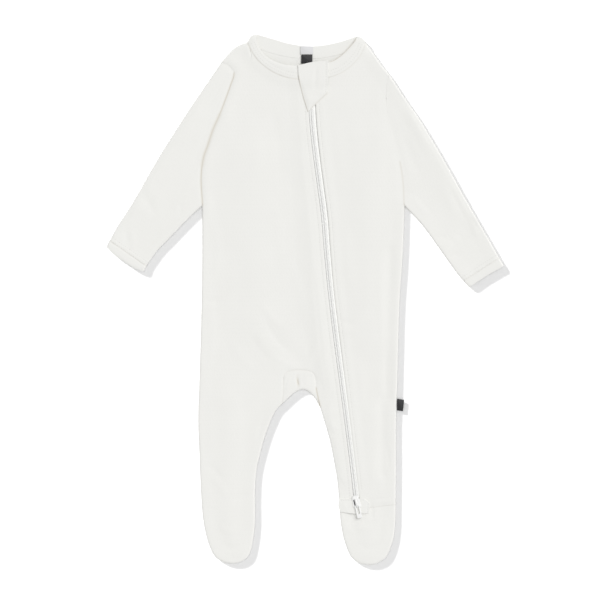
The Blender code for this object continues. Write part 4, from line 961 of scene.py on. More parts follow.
def front_band_lines(side):
    """Neck seam, free edge and shoulder end of one front neckband, each from left to right."""
    if side == "right":
        return offset(NECK_SEAM_RIGHT, SEAM_GAP), NECK_EDGE_RIGHT, BAND_END_RIGHT
    return offset(NECK_SEAM_LEFT, -SEAM_GAP)[::-1], NECK_EDGE_LEFT[::-1], BAND_END_LEFT


def front_band_grid(side):
    seam, edge, end = front_band_lines(side)
    columns = fractions(line_length(seam), FRONT_BAND_SPACING)
    if side == "right":
        return block(end[::-1], np.array([edge[-1], seam[-1]]), edge, seam, columns, BAND_STEPS)
    return block(np.array([edge[0], seam[0]]), end[::-1], edge, seam, columns, BAND_STEPS)


def front_band_height(points, side):
    """Level of a front neckband, dropping at the shoulder where it meets the back one."""
    seam, edge, end = front_band_lines(side)
    crown = np.minimum(distance_to(points, seam), distance_to(points, edge))
    drop = 1 - ease(distance_to(points, end) / EDGE_BLEND)
    level = FRONT_BAND_LEVEL - BAND_CROWN * (1 - ease(crown / BAND_CROWN_WIDTH)) - FRONT_BAND_END_DROP * drop
    return level - stitch_dip(points, BAND_STITCHES[side])


def back_band_grid():
    return block(BAND_END_RIGHT[::-1], BAND_END_LEFT[::-1], BACK_NECK_EDGE,
                 offset(BACK_NECK_SEAM, BACK_BAND_GAP), BACK_BAND_COLUMNS, BAND_STEPS)


def guard_grid():
    return block(GUARD_LEFT_EDGE, GUARD_RIGHT_EDGE, GUARD_TOP_EDGE, GUARD_TIP_EDGE,
                 GUARD_COLUMNS, GUARD_ROWS)


def guard_height(points):
    """Level of the chin guard, which rises over the neckband and has one soft fold."""
    share = ease((points[:, 1] - GUARD_RISE_FROM) / GUARD_RISE_LENGTH)
    edge = np.min([distance_to(points, line) for line in (GUARD_LEFT_EDGE, GUARD_RIGHT_EDGE, GUARD_TIP_EDGE)],
                  axis=0)
    drop = GUARD_EDGE_DROP * (1 - ease(edge / GUARD_EDGE_WIDTH)) * (1 - share)
    level = GUARD_LEVEL + GUARD_RISE * share - drop
    return level + crease_height(points, GUARD_CREASES) - stitch_dip(points, GUARD_STITCHES)


def patch_grid():
    return block(PATCH_LEFT_EDGE, PATCH_RIGHT_EDGE, PATCH_TOP_EDGE, PATCH_LOWER_EDGE,
                 PATCH_COLUMNS, PATCH_ROWS)


def patch_height(points):
    return PATCH_LEVEL + crease_height(points, PATCH_CREASES) - stitch_dip(points, PATCH_STITCHES)


# Rows of sewing on each piece
ZIP_STITCH_INSET = 3.6
BAND_STITCH_INSETS = (3.2, 6.4)
CUFF_STITCH_INSETS = (0.9, 4.4)
GUARD_STITCH_INSET = 2.2
PATCH_STITCH_SHIFTS = ((1.0, -1.6), (-1.8, 0.0))
BAND_STITCHES = {
    "right": [offset(NECK_SEAM_RIGHT, inset)[1:-2] for inset in BAND_STITCH_INSETS],
    "left": [offset(NECK_SEAM_LEFT, -inset)[1:-2] for inset in BAND_STITCH_INSETS],
}
CUFF_STITCHES = {
    "right": [offset(CUFF_SEAM_RIGHT, inset) for inset in CUFF_STITCH_INSETS],
    "left": [offset(CUFF_SEAM_LEFT, inset) for inset in CUFF_STITCH_INSETS],
}
FRONT_RIGHT_STITCHES = [moved(ZIP_EDGE_RIGHT, -ZIP_STITCH_INSET)[3:]]
FRONT_LEFT_STITCHES = [moved(ZIP_EDGE_LEFT, ZIP_STITCH_INSET)[3:-3]]
GUARD_STITCHES = [moved(GUARD_RIGHT_EDGE, -GUARD_STITCH_INSET)]
PATCH_STITCHES = [moved(edge, *shift)
                  for edge, shift in zip((PATCH_TOP_EDGE[:2], PATCH_RIGHT_EDGE), PATCH_STITCH_SHIFTS)]
# Soft folds of the chin guard and the patch, as in the table of creases
GUARD_CREASES = [
    ([(13, 248), (12, 238), (10.5, 216)], 2, -0.4),
    ([(2, 215), (8, 208), (16, 212)], 3, 0.25),
]
PATCH_CREASES = [([(40, -212), (42, -218), (41, -222)], 2.4, 0.25)]


def front_right_height(points):
    return front_height(points, ZIP_EDGE_RIGHT, rows=FRONT_RIGHT_STITCHES)


def front_left_height(points):
    return front_height(points, ZIP_EDGE_LEFT, rows=FRONT_LEFT_STITCHES)


def sleeve_height(points, side):
    return front_height(points, on_body=False, rows=CUFF_STITCHES[side])


# Making of the pieces

def in_space(grid, height):
    """Points of a plan grid at their heights."""
    return np.dstack([grid, height(grid.reshape(-1, 2)).reshape(grid.shape[:2])])


def on_cloth(points, turn):
    """Place of each point on the cloth laid out flat, with the knit turned to run along the piece.

    Where a row or a column climbs, its cloth is longer than its plan, and the difference is added from the
    middle outwards.
    """
    place = points[..., :2].copy()
    for axis, way in ((1, 1.0), (0, -1.0)):
        step = np.diff(points, axis=axis)
        climb = np.linalg.norm(step, axis=2) - np.linalg.norm(step[..., :2], axis=2)
        excess = np.cumsum(climb, axis=axis)
        excess = np.insert(excess, 0, 0.0, axis=axis)
        excess -= np.take(excess, [excess.shape[axis] // 2], axis=axis)
        place[..., 1 - axis] += way * excess
    along_rows = place[..., 0] * cos(turn) + place[..., 1] * sin(turn)
    along_columns = place[..., 1] * cos(turn) - place[..., 0] * sin(turn)
    return np.dstack([along_rows, along_columns, np.zeros(points.shape[:2])])


# Rows and columns of a grid along which a sleeve or a cuff, and the gusset, roll over
TUBE_SIDES = (slice(None), [0, -1])
TUBE_END = (-1, slice(None))


def new_cloth():
    bm = bmesh.new()
    # The gap attribute holds the share of painted ochre shade in the gaps between pieces
    bm.verts.layers.float.new("gap")
    bm.verts.layers.float_vector.new("knit")
    return bm


def add_layer(bm, points, turn=0.0, facing_up=True, gaps=()):
    """One layer of cloth through rows of points."""
    gap = bm.verts.layers.float["gap"]
    knit = bm.verts.layers.float_vector["knit"]
    place = on_cloth(points, turn)
    if facing_up:
        points, place = points[::-1], place[::-1]
    rows, columns = points.shape[:2]
    flat = points.reshape(-1, 3)
    # Painted shade in the gaps between pieces, kept in the gap attribute
    shade_share = gap_shade_share(flat, gaps)
    corners = bmesh.ops.create_grid(bm, x_segments=columns - 1, y_segments=rows - 1, size=1.0)["verts"]
    for corner, point, spot, depth in zip(corners, flat * MM, place.reshape(-1, 3) * MM, shade_share):
        corner.co = point
        corner[knit] = spot
        corner[gap] = depth


def add_piece(name, bm, material, slot, body="suit", replaced=()):
    """Finished object from a mesh under construction, riding on its body in place of its solids."""
    mesh = bpy.data.meshes.new(name)
    bm.to_mesh(mesh)
    bm.free()
    mesh.materials.append(material)
    mesh.shade_smooth()
    piece = bpy.data.objects.new(name, mesh)
    bpy.context.scene.collection.objects.link(piece)
    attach(piece, body)
    if replaced:
        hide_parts(*replaced)
    return piece


def add_wall(piece, thickness, rim, segments=2):
    """Thickness for a cloth surface, with its cut edges rounded."""
    wall = piece.modifiers.new("Wall", "SOLIDIFY")
    wall.thickness = thickness
    wall.offset = 0.0
    rounded = piece.modifiers.new("Rim", "BEVEL")
    rounded.width = rim
    rounded.segments = segments
    rounded.limit_method = "ANGLE"
    rounded.angle_limit = RIM_ANGLE
    return piece


def finish_cloth(name, bm, look, replaced, segments):
    """Cloth piece from its layers, welded where they meet, with its look, wall and rims."""
    material, thickness, slot, rim = look
    bmesh.ops.remove_doubles(bm, verts=bm.verts, dist=WELD * MM)
    return add_wall(add_piece(name, bm, material, slot, replaced=[replaced]), thickness, rim, segments)


def add_panel(name, grids, height, look, replaced, segments=2, gaps=()):
    """Flat cloth piece from plan grids that share their borders."""
    bm = new_cloth()
    for grid in grids:
        add_layer(bm, in_space(grid, height), gaps=gaps)
    return finish_cloth(name, bm, look, replaced, segments)


def add_tube(name, grid, level, heights, rolled, look, replaced, turn=0.0, segments=2):
    """Flattened tube from its top and bottom layers, at one level along the lines where it rolls over."""
    bm = new_cloth()
    for height, facing_up in zip(heights, (True, False)):
        points = in_space(grid, height)
        points[(*rolled, 2)] = level
        add_layer(bm, points, turn, facing_up, BODY_SHADE_LINES)
    return finish_cloth(name, bm, look, replaced, segments)


def add_bead(bm, place, size, turn):
    """Small rounded body of few faces, such as a stitch or a turn of the coil."""
    matrix = Matrix.Translation(Vector(place) * MM) @ Matrix.Rotation(turn, 4, "Z")
    matrix = matrix @ Matrix.Diagonal((size[0] * MM, size[1] * MM, size[2] * MM, 1.0))
    bmesh.ops.create_icosphere(bm, subdivisions=1, radius=1.0, matrix=matrix)


def add_stitches(bm, row, height, pitch, size):
    """Row of stitches along a line, half sunk in the cloth whose surface has the given height."""
    length = line_length(row)
    ends = np.arange(0.5 * pitch, length, pitch) / length
    middles = along(row, ends)
    ways = along(row, ends + STITCH_AHEAD / length) - middles
    levels = height(middles)
    for (x, y), way, level in zip(middles, ways, levels):
        add_bead(bm, (x, y, level), size, atan2(way[1], way[0]))


def extrude(bm, faces, way):
    """Draw faces out along a vector, and return the corners that moved."""
    grown = bmesh.ops.extrude_face_region(bm, geom=faces)["geom"]
    corners = [part for part in grown if isinstance(part, bmesh.types.BMVert)]
    bmesh.ops.translate(bm, verts=corners, vec=way)
    return corners


def bevel(bm, edges, radius, segments):
    bmesh.ops.bevel(bm, geom=edges, offset=radius, offset_type="OFFSET", segments=segments, profile=0.5,
                    affect="EDGES", material=-1)


def soften(bm, radius):
    """Bevel of every sharp edge that is not rounded yet."""
    sharp = [edge for edge in bm.edges if edge.is_manifold and edge.calc_face_angle() > SHARP_ANGLE]
    bevel(bm, sharp, radius, 2)


def is_upright(edge, height):
    start, end = edge.verts
    return abs(start.co.z - end.co.z) > 0.5 * height


def add_block(bm, corners, low, high, corner_radius, rim):
    """Upright slab on four corners, with rounded corners and rims."""
    base = bm.faces.new([bm.verts.new((x, y, low)) for x, y in corners])
    top = extrude(bm, [base], (0.0, 0.0, high - low))
    edges = [edge for corner in top for edge in corner.link_edges]
    faces = {face for edge in edges for face in edge.link_faces} | {base}
    bmesh.ops.recalc_face_normals(bm, faces=list(faces))
    bevel(bm, [edge for edge in edges if is_upright(edge, high - low)], corner_radius, CORNER_SEGMENTS)
    soften(bm, rim)


def slotted_plate(outer, outer_radius, slot, slot_radius, low, high):
    """Flat plate with a slot right through it, from the corners of both."""
    bm = bmesh.new()
    loops = []
    for corners in (outer, slot):
        verts = [bm.verts.new((x, y, low)) for x, y in corners]
        loops += [bm.edges.new((verts[index - 1], verts[index])) for index in range(4)]
    ring = bmesh.ops.bridge_loops(bm, edges=loops)["faces"]
    extrude(bm, ring, (0.0, 0.0, high - low))
    bmesh.ops.recalc_face_normals(bm, faces=bm.faces)
    for corners, radius in ((outer, outer_radius), (slot, slot_radius)):
        upright = [edge for edge in bm.edges if is_upright(edge, high - low)
                   and any((edge.verts[0].co.xy - Vector(corner)).length < TINY_GAP for corner in corners)]
        bevel(bm, upright, radius, CORNER_SEGMENTS)
    soften(bm, PLATE_RIM)
    return bm


def box_corners(width, start, end, middle=0.0):
    return [(middle - width / 2, start), (middle + width / 2, start), (middle + width / 2, end),
            (middle - width / 2, end)]


def add_slider_parts(bm):
    """Shoe, post and bail of the slider, joined to its plate."""
    add_block(bm, box_corners(SHOE_WIDTH, -SHOE_LENGTH / 2, SHOE_LENGTH / 2), SHOE_LOW, SHOE_HIGH,
              SHOE_CORNER, SHOE_RIM)
    add_block(bm, box_corners(POST_WIDTH, POST_Y - POST_LENGTH / 2, POST_Y + POST_LENGTH / 2),
              SHOE_HIGH - SUNK, PLATE_LOW + SUNK, POST_CORNER, POST_RIM)
    low = PLATE_HIGH - SUNK
    outside = [(BAIL_FROM, low), (BAIL_FROM, BAIL_TOP - BAIL_BAR), (BAIL_FROM + BAIL_BAR, BAIL_TOP),
               (BAIL_TO - BAIL_BAR, BAIL_TOP), (BAIL_TO, BAIL_TOP - BAIL_BAR), (BAIL_TO, low)]
    inside = [(BAIL_TO - BAIL_BAR, low), (BAIL_TO - BAIL_BAR, BAIL_TOP - BAIL_BAR),
              (BAIL_FROM + BAIL_BAR, BAIL_TOP - BAIL_BAR), (BAIL_FROM + BAIL_BAR, low)]
    side = bm.faces.new([bm.verts.new((-BAIL_WIDTH / 2, y, z)) for y, z in outside + inside])
    extrude(bm, [side], (BAIL_WIDTH, 0.0, 0.0))
    soften(bm, BAIL_RIM)


def set_in_place(bm, place=(0.0, 0.0, 0.0), turn=0.0):
    """Turn millimetres in a part's own directions into metres in the frame's."""
    matrix = Matrix.Translation(Vector(place) * MM) @ Matrix.Rotation(turn, 4, "Z") @ Matrix.Scale(MM, 4)
    bmesh.ops.transform(bm, matrix=matrix, verts=bm.verts)
    bmesh.ops.recalc_face_normals(bm, faces=bm.faces)


# Materials

def add_node(tree, kind, inputs=None, **settings):
    """Shader node with its settings, each input linked to a socket or set to a value."""
    made = tree.nodes.new(kind)
    for name, value in settings.items():
        setattr(made, name, value)
    for name, value in (inputs or {}).items():
        if isinstance(value, bpy.types.NodeSocket):
            tree.links.new(value, made.inputs[name])
        else:
            made.inputs[name].default_value = value
    return made


def calculator(tree):
    """Function that adds a Math node and gives its output."""
    def calculate(operation, *values):
        return add_node(tree, "ShaderNodeMath", dict(enumerate(values)), operation=operation).outputs[0]
    return calculate


def node_group(name, inputs, outputs):
    """Makes a function that fills a node group into one that gives the group, filled when first asked for."""
    def shared(fill):
        def group():
            if name in bpy.data.node_groups:
                return bpy.data.node_groups[name]
            tree = bpy.data.node_groups.new(name, "ShaderNodeTree")
            tree.interface.new_socket(name="Place", in_out="INPUT", socket_type="NodeSocketVector")
            for title, value in inputs.items():
                socket = tree.interface.new_socket(name=title, in_out="INPUT", socket_type="NodeSocketFloat")
                socket.default_value = value
            for title in outputs:
                tree.interface.new_socket(name=title, in_out="OUTPUT", socket_type="NodeSocketFloat")
            made = fill(tree, tree.nodes.new("NodeGroupInput").outputs)
            add_node(tree, "NodeGroupOutput", dict(zip(outputs, made)))
            return tree
        return group
    return shared


@node_group("Openwork knit", {"Loop width": 0.0009, "Openwork width": 0.0037, "Openwork": 1.0},
            ("Height", "Shade"))
def knit_group(tree, given):
    """Fine ribs of loops with staggered columns of small open stitches: their height, and painted shade that
    is darkest in the open stitches and between the ribs.
    """
    calculate = calculator(tree)
    place = add_node(tree, "ShaderNodeSeparateXYZ", {0: given["Place"]}).outputs
    loops = calculate("DIVIDE", place["X"], given["Loop width"])
    loops = calculate("SINE", calculate("MULTIPLY", 2 * pi, loops))
    courses = calculate("DIVIDE", place["Y"], calculate("MULTIPLY", LOOP_HEIGHT, given["Loop width"]))
    courses = calculate("SINE", calculate("MULTIPLY", 2 * pi, courses))
    across = calculate("DIVIDE", place["X"], given["Openwork width"])
    down = calculate("DIVIDE", place["Y"], calculate("MULTIPLY", OPENWORK_HEIGHT, given["Openwork width"]))
    odd = calculate("MODULO", calculate("ABSOLUTE", calculate("FLOOR", down)), 2.0)
    shifted = calculate("ADD", across, calculate("MULTIPLY", 0.5, odd))
    side = calculate("SUBTRACT", calculate("FRACT", shifted), 0.5)
    rise = calculate("MULTIPLY", OPENWORK_HEIGHT, calculate("SUBTRACT", calculate("FRACT", down), 0.5))
    square = calculate("ADD", calculate("MULTIPLY", side, side), calculate("MULTIPLY", rise, rise))
    eyelet = add_node(tree, "ShaderNodeMapRange", {
        "Value": calculate("SQRT", square), "From Min": EYELET_HOLE, "From Max": EYELET_EDGE, "To Min": 1.0,
        "To Max": 0.0,
    }, interpolation_type="SMOOTHSTEP").outputs[0]
    eyelet = calculate("MULTIPLY", eyelet, given["Openwork"])
    columns = calculate("COSINE", calculate("MULTIPLY", 4 * pi, across))
    height = 0.5
    for part, share in ((loops, 0.30), (courses, 0.12),
                        (calculate("MULTIPLY", given["Openwork"], columns), 0.10), (eyelet, -0.55)):
        height = calculate("MULTIPLY_ADD", part, share, height)
    # Second output: painted shade in the open stitches and between the ribs of loops
    return height, calculate("MULTIPLY_ADD", eyelet, 0.6, calculate("MULTIPLY_ADD", loops, -0.15, 0.25))


@node_group("Plain weave", {"Thread": 0.0004}, ("Height", "Shade"))
def weave_group(tree, given):
    """Plain weave of threads passing over and under each other: its height, and painted shade where the
    threads dip under.
    """
    calculate = calculator(tree)
    place = add_node(tree, "ShaderNodeSeparateXYZ", {0: given["Place"]}).outputs
    threads = [calculate("DIVIDE", place[axis], given["Thread"]) for axis in ("X", "Y")]
    warp, weft = [calculate("SINE", calculate("MULTIPLY", pi, thread)) for thread in threads]
    over = calculate("MULTIPLY", warp, weft)
    return calculate("MULTIPLY_ADD", over, 0.5, 0.5), calculate("MULTIPLY_ADD", over, -0.4, 0.4)


@node_group("Soft mottle", {"Scale": 30.0}, ("Tone",))
def mottle_group(tree, given):
    """Soft uneven tone, as of cloth that has been washed and worn."""
    noise = add_node(tree, "ShaderNodeTexNoise", {
        "Vector": given["Place"], "Scale": given["Scale"], "Detail": 3.0, "Roughness": 0.55})
    tone = add_node(tree, "ShaderNodeMapRange", {
        "Value": noise.outputs["Fac"], "From Min": 0.3, "From Max": 0.7})
    return [tone.outputs[0]]


def new_material(name, roughness, sheen=0.0, metallic=0.0, coat=0.0):
    """Material with a Principled shader, returned with its nodes."""
    material = bpy.data.materials.new(name)
    material.use_nodes = True
    tree = material.node_tree
    shader = tree.nodes["Principled BSDF"]
    shader.inputs["Roughness"].default_value = roughness
    shader.inputs["Sheen Weight"].default_value = sheen
    shader.inputs["Metallic"].default_value = metallic
    shader.inputs["Coat Weight"].default_value = coat
    return material, tree, shader


def object_place(tree):
    return add_node(tree, "ShaderNodeTexCoord").outputs["Object"]


def mottle(tree, place, scale):
    return add_node(tree, "ShaderNodeGroup", {"Place": place, "Scale": scale},
                    node_tree=mottle_group()).outputs["Tone"]


def mix(tree, share, first, second):
    """Colour between two, at a share from 0 to 1."""
    sockets = {0: share, 6: first, 7: second}
    return add_node(tree, "ShaderNodeMix", sockets, data_type="RGBA").outputs[2]


def darker(colour, share):
    return (*[value * (1 - share) for value in colour], 1.0)


def toned(tree, share, colour, contrast):
    """Colour that is darker by a contrast where the share is 1."""
    return mix(tree, share, darker(colour, 0.0), darker(colour, contrast))


def set_relief(tree, shader, height, depth):
    """Bump from a height between 0 and 1, a depth of so many metres."""
    bump = add_node(tree, "ShaderNodeBump", {"Strength": 1.0, "Distance": depth, "Height": height})
    tree.links.new(bump.outputs["Normal"], shader.inputs["Normal"])


def cloth_material(name, cloth, openwork, relief):
    """White knit with its loops, open stitches and soft mottling, with painted shade in its open stitches and
    between its loops, and painted ochre shade deep in the gaps between pieces.
    """
    if name in bpy.data.materials:
        return bpy.data.materials[name]
    material, tree, shader = new_material(name, cloth.roughness, cloth.sheen)
    place = add_node(tree, "ShaderNodeAttribute", attribute_name="knit").outputs["Vector"]
    depth = add_node(tree, "ShaderNodeAttribute", attribute_name="gap").outputs["Fac"]
    knit = add_node(tree, "ShaderNodeGroup", {
        "Place": place, "Loop width": cloth.loop_width, "Openwork width": cloth.openwork_width,
        "Openwork": openwork}, node_tree=knit_group()).outputs
    plain = toned(tree, mottle(tree, place, scale=28.0), cloth.colour, contrast=0.015)
    # Painted shade of the knit: darker in its open stitches and between its loops
    loops = mix(tree, knit["Shade"], plain, darker(cloth.colour, 0.022))
    # Painted ochre shade, as strong as the gap attribute
    colour = mix(tree, depth, loops, darker(cloth.gap_shade_colour, 0.0))
    tree.links.new(colour, shader.inputs["Base Color"])
    set_relief(tree, shader, knit["Height"], relief)
    return material


def jersey(cloth):
    return cloth_material("Openwork jersey", cloth, openwork=1.0, relief=0.00004)


def binding(cloth):
    return cloth_material("Plain rib binding", cloth, openwork=0.0, relief=0.00006)


def one_layer(cloth):
    """Look of a single layer of jersey: its material, thickness, slot and rim."""
    return jersey(cloth), cloth.wall, "jersey", RIM


def woven_material(name, colour, thread, roughness, sheen, relief, contrast):
    """Closely woven tape or label, its colour darkened by painted shade where its threads dip under."""
    material, tree, shader = new_material(name, roughness, sheen)
    weave = add_node(tree, "ShaderNodeGroup", {"Place": object_place(tree), "Thread": thread},
                     node_tree=weave_group()).outputs
    tree.links.new(toned(tree, weave["Shade"], colour, contrast), shader.inputs["Base Color"])
    set_relief(tree, shader, weave["Height"], relief)
    return material


def hard_material(name, colour, roughness, metallic, coat, contrast):
    """Moulded nylon or painted metal, with small worn patches."""
    material, tree, shader = new_material(name, roughness, metallic=metallic, coat=coat)
    tone = mottle(tree, object_place(tree), scale=400.0)
    tree.links.new(toned(tree, tone, colour, contrast), shader.inputs["Base Color"])
    rough = add_node(tree, "ShaderNodeMapRange", {
        "Value": tone, "To Min": roughness * 0.85, "To Max": roughness * 1.2}).outputs[0]
    tree.links.new(rough, shader.inputs["Roughness"])
    return material


def thread_material(colour):
    """Twisted sewing thread, in a colour darker than the cloth's as painted shade of the stitches' relief and
    needle holes.
    """
    material, tree, shader = new_material("Sewing thread", roughness=0.7, sheen=0.1)
    twist = add_node(tree, "ShaderNodeTexWave", {"Vector": object_place(tree), "Scale": 900.0},
                     bands_direction="DIAGONAL")
    tree.links.new(toned(tree, twist.outputs["Fac"], colour, contrast=0.08), shader.inputs["Base Color"])
    return material


def floor_material(colour):
    """Plain pale paper floor."""
    material, tree, shader = new_material("Pale floor", roughness=0.9)
    tone = mottle(tree, object_place(tree), scale=3.0)
    tree.links.new(toned(tree, tone, colour, contrast=0.005), shader.inputs["Base Color"])
    return material


# Settings

def colour_setting(name, description, default):
    return FloatVectorProperty(name=name, description=description, default=default, min=0.0, max=1.0,
                               size=3, subtype="COLOR")


def length_setting(name, description, default):
    return FloatProperty(name=name, description=description, default=default, min=0.00001, precision=5,
                         unit="LENGTH")


class SleepsuitCloth(bpy.types.PropertyGroup):
    """Sizes and colours of the cloth and its sewing."""
    colour: colour_setting("Cloth", "Colour of the jersey", (0.875, 0.872, 0.842))
    # Colour towards which the cloth is darkened as painted shade deep in the gaps between pieces
    gap_shade_colour: colour_setting("Gaps", "Colour of the light deep between two pieces", (0.42, 0.33, 0.17))
    # The thread is set darker than the cloth: painted shade of the stitches' relief and needle holes
    shaded_thread_colour: colour_setting("Thread", "Colour of the sewing thread", (0.80, 0.80, 0.77))
    wall: length_setting("Jersey", "Thickness of one layer of jersey", 0.001)
    band_wall: length_setting("Neckband", "Thickness of the folded neckband", 0.0019)
    cuff_wall: length_setting("Cuffs", "Thickness of the folded cuff bindings", 0.0015)
    guard_wall: length_setting("Chin guard", "Thickness of the folded chin guard", 0.0013)
    loop_width: length_setting("Loops", "Width of one column of loops", 0.0009)
    openwork_width: length_setting("Openwork", "Width from one open stitch to the next", 0.0037)
    stitch_pitch: length_setting("Stitch pitch", "Distance from one stitch to the next", 0.0026)
    stitch_length: length_setting("Stitch length", "Length of one stitch", 0.0019)
    stitch_width: length_setting("Stitch width", "Width of one stitch", 0.0005)
    roughness: FloatProperty(name="Roughness", description="Roughness of the cloth", default=0.92, min=0.0,
                             max=1.0, subtype="FACTOR")
    sheen: FloatProperty(name="Sheen", description="Soft sheen of the cloth's fibres", default=0.12,
                         min=0.0, max=1.0, subtype="FACTOR")


class SleepsuitZip(bpy.types.PropertyGroup):
    """Sizes and colours of the zip."""
    tape_colour: colour_setting("Tape", "Colour of the woven tapes", (0.98, 0.98, 0.96))
    coil_colour: colour_setting("Coil", "Colour of the nylon coil", (1.0, 1.0, 0.98))
    metal_colour: colour_setting("Slider", "Colour of the slider and its tab", (0.93, 0.93, 0.92))
    coil_pitch: length_setting("Coil pitch", "Distance from one turn of a coil to the next", 0.0013)


class SleepsuitStage(bpy.types.PropertyGroup):
    """Floor, light and camera."""
    floor_colour: colour_setting("Floor", "Colour of the floor", (0.80, 0.80, 0.80))
    camera_height: length_setting("Camera height", "Height of the camera over the floor", 3.503)
    sky: FloatProperty(name="Sky", description="Strength of the even light from all round", default=0.56,
                       min=0.0)
    key: FloatProperty(name="Key", description="Strength of the slanting light on the garment", default=1.6,
                       min=0.0)
    fill: FloatProperty(name="Fill", description="Strength of the low light opposite", default=0.3,
                        min=0.0)
    floor_key: FloatProperty(name="Shadow light", description="Strength of the light that casts the shadow",
                             default=6.3, min=0.0)
    floor_fill: FloatProperty(name="Floor fill", description="Strength of the light from above on the floor",
                              default=1.3, min=0.0)


# Operators

class SLEEPSUIT_OT_fronts(bpy.types.Operator):
    """Build both fronts and the top of the left foot"""
    bl_idname = "sleepsuit.fronts"
    bl_label = "Fronts"

    def execute(self, context):
        look = one_layer(context.scene.sleepsuit_cloth)
        right = add_panel("right_front", front_right_grids(), front_right_height, look, "front_right",
                          gaps=BODY_SHADE_LINES)
        left = add_panel("left_front", front_left_grids(), front_left_height, look, "front_left",
                         gaps=BODY_SHADE_LINES)
        foot = add_panel("left_foot_top", foot_left_grids(), front_height, look, "foot_left", gaps=BODY_SHADE_LINES)
        return {"FINISHED"}


class SLEEPSUIT_OT_back(bpy.types.Operator):
    """Build the back of the body and of both legs"""
    bl_idname = "sleepsuit.back"
    bl_label = "Back"

    def execute(self, context):
        look = one_layer(context.scene.sleepsuit_cloth)
        back = add_panel("back", back_grids(), back_height, look, "back_panel")
        return {"FINISHED"}


class SLEEPSUIT_OT_gusset(bpy.types.Operator):
    """Build the gusset that is folded over the crotch"""
    bl_idname = "sleepsuit.gusset"
    bl_label = "Crotch gusset"

    def execute(self, context):
        look = one_layer(context.scene.sleepsuit_cloth)
        gusset = add_tube("crotch_gusset", gusset_grid(), EDGE_LEVEL,
                          (partial(front_height, seam_gap=0.0), back_height), TUBE_END, look, "gusset")
        return {"FINISHED"}


class SLEEPSUIT_OT_sleeves(bpy.types.Operator):
    """Build both sleeves"""
    bl_idname = "sleepsuit.sleeves"
    bl_label = "Sleeves"

    def execute(self, context):
        look = one_layer(context.scene.sleepsuit_cloth)
        for side, turn in SLEEVE_TURNS.items():
            sleeve = add_tube(f"{side}_sleeve", sleeve_grid(side), EDGE_LEVEL,
                              (partial(sleeve_height, side=side), back_height), TUBE_SIDES,
                              look, f"sleeve_{side}", turn)
        return {"FINISHED"}


class SLEEPSUIT_OT_cuffs(bpy.types.Operator):
    """Build the bindings at the ends of the sleeves"""
    bl_idname = "sleepsuit.cuffs"
    bl_label = "Cuffs"

    def execute(self, context):
        cloth = context.scene.sleepsuit_cloth
        look = (binding(cloth), cloth.cuff_wall, "rib", BAND_RIM)
        for side, turn in SLEEVE_TURNS.items():
            grid = cuff_grid(side)
            cuff = add_tube(f"{side}_cuff", grid, CUFF_LEVEL,
                            (lambda points: cuff_height(points, grid[0], grid[-1]),
                             lambda points: CUFF_LEVEL - roll(distance_to_outline(points))), TUBE_SIDES,
                            look, f"cuff_{side}", turn, segments=3)
        return {"FINISHED"}


class SLEEPSUIT_OT_neckband(bpy.types.Operator):
    """Build the folded band round the neck"""
    bl_idname = "sleepsuit.neckband"
    bl_label = "Neckband"

    def execute(self, context):
        cloth = context.scene.sleepsuit_cloth
        for side in ("right", "left"):
            band = add_panel(f"{side}_neckband", [front_band_grid(side)],
                             partial(front_band_height, side=side),
                             (binding(cloth), cloth.band_wall, "rib", BAND_RIM), f"neckband_front_{side}",
                             3, BAND_SHADE_LINES)
        back = add_panel("back_neckband", [back_band_grid()],
                         lambda points: np.full(len(points), BACK_BAND_LEVEL),
                         (binding(cloth), cloth.band_wall, "rib", RIM), "neckband_back")
        return {"FINISHED"}


class SLEEPSUIT_OT_chin_guard(bpy.types.Operator):
    """Build the folded flap over the zip's top end"""
    bl_idname = "sleepsuit.chin_guard"
    bl_label = "Chin guard"

    def execute(self, context):
        cloth = context.scene.sleepsuit_cloth
        guard = add_panel("folded_chin_guard", [guard_grid()], guard_height,
                          (jersey(cloth), cloth.guard_wall, "jersey", BAND_RIM), "chin_guard", 3, GUARD_SHADE_LINES)
        return {"FINISHED"}


class SLEEPSUIT_OT_zip_patch(bpy.types.Operator):
    """Build the patch over the zip's lower end"""
    bl_idname = "sleepsuit.zip_patch"
    bl_label = "Zip patch"

    def execute(self, context):
        look = one_layer(context.scene.sleepsuit_cloth)
        patch = add_panel("ankle_patch", [patch_grid()], patch_height, look, "zip_end_patch")
        return {"FINISHED"}


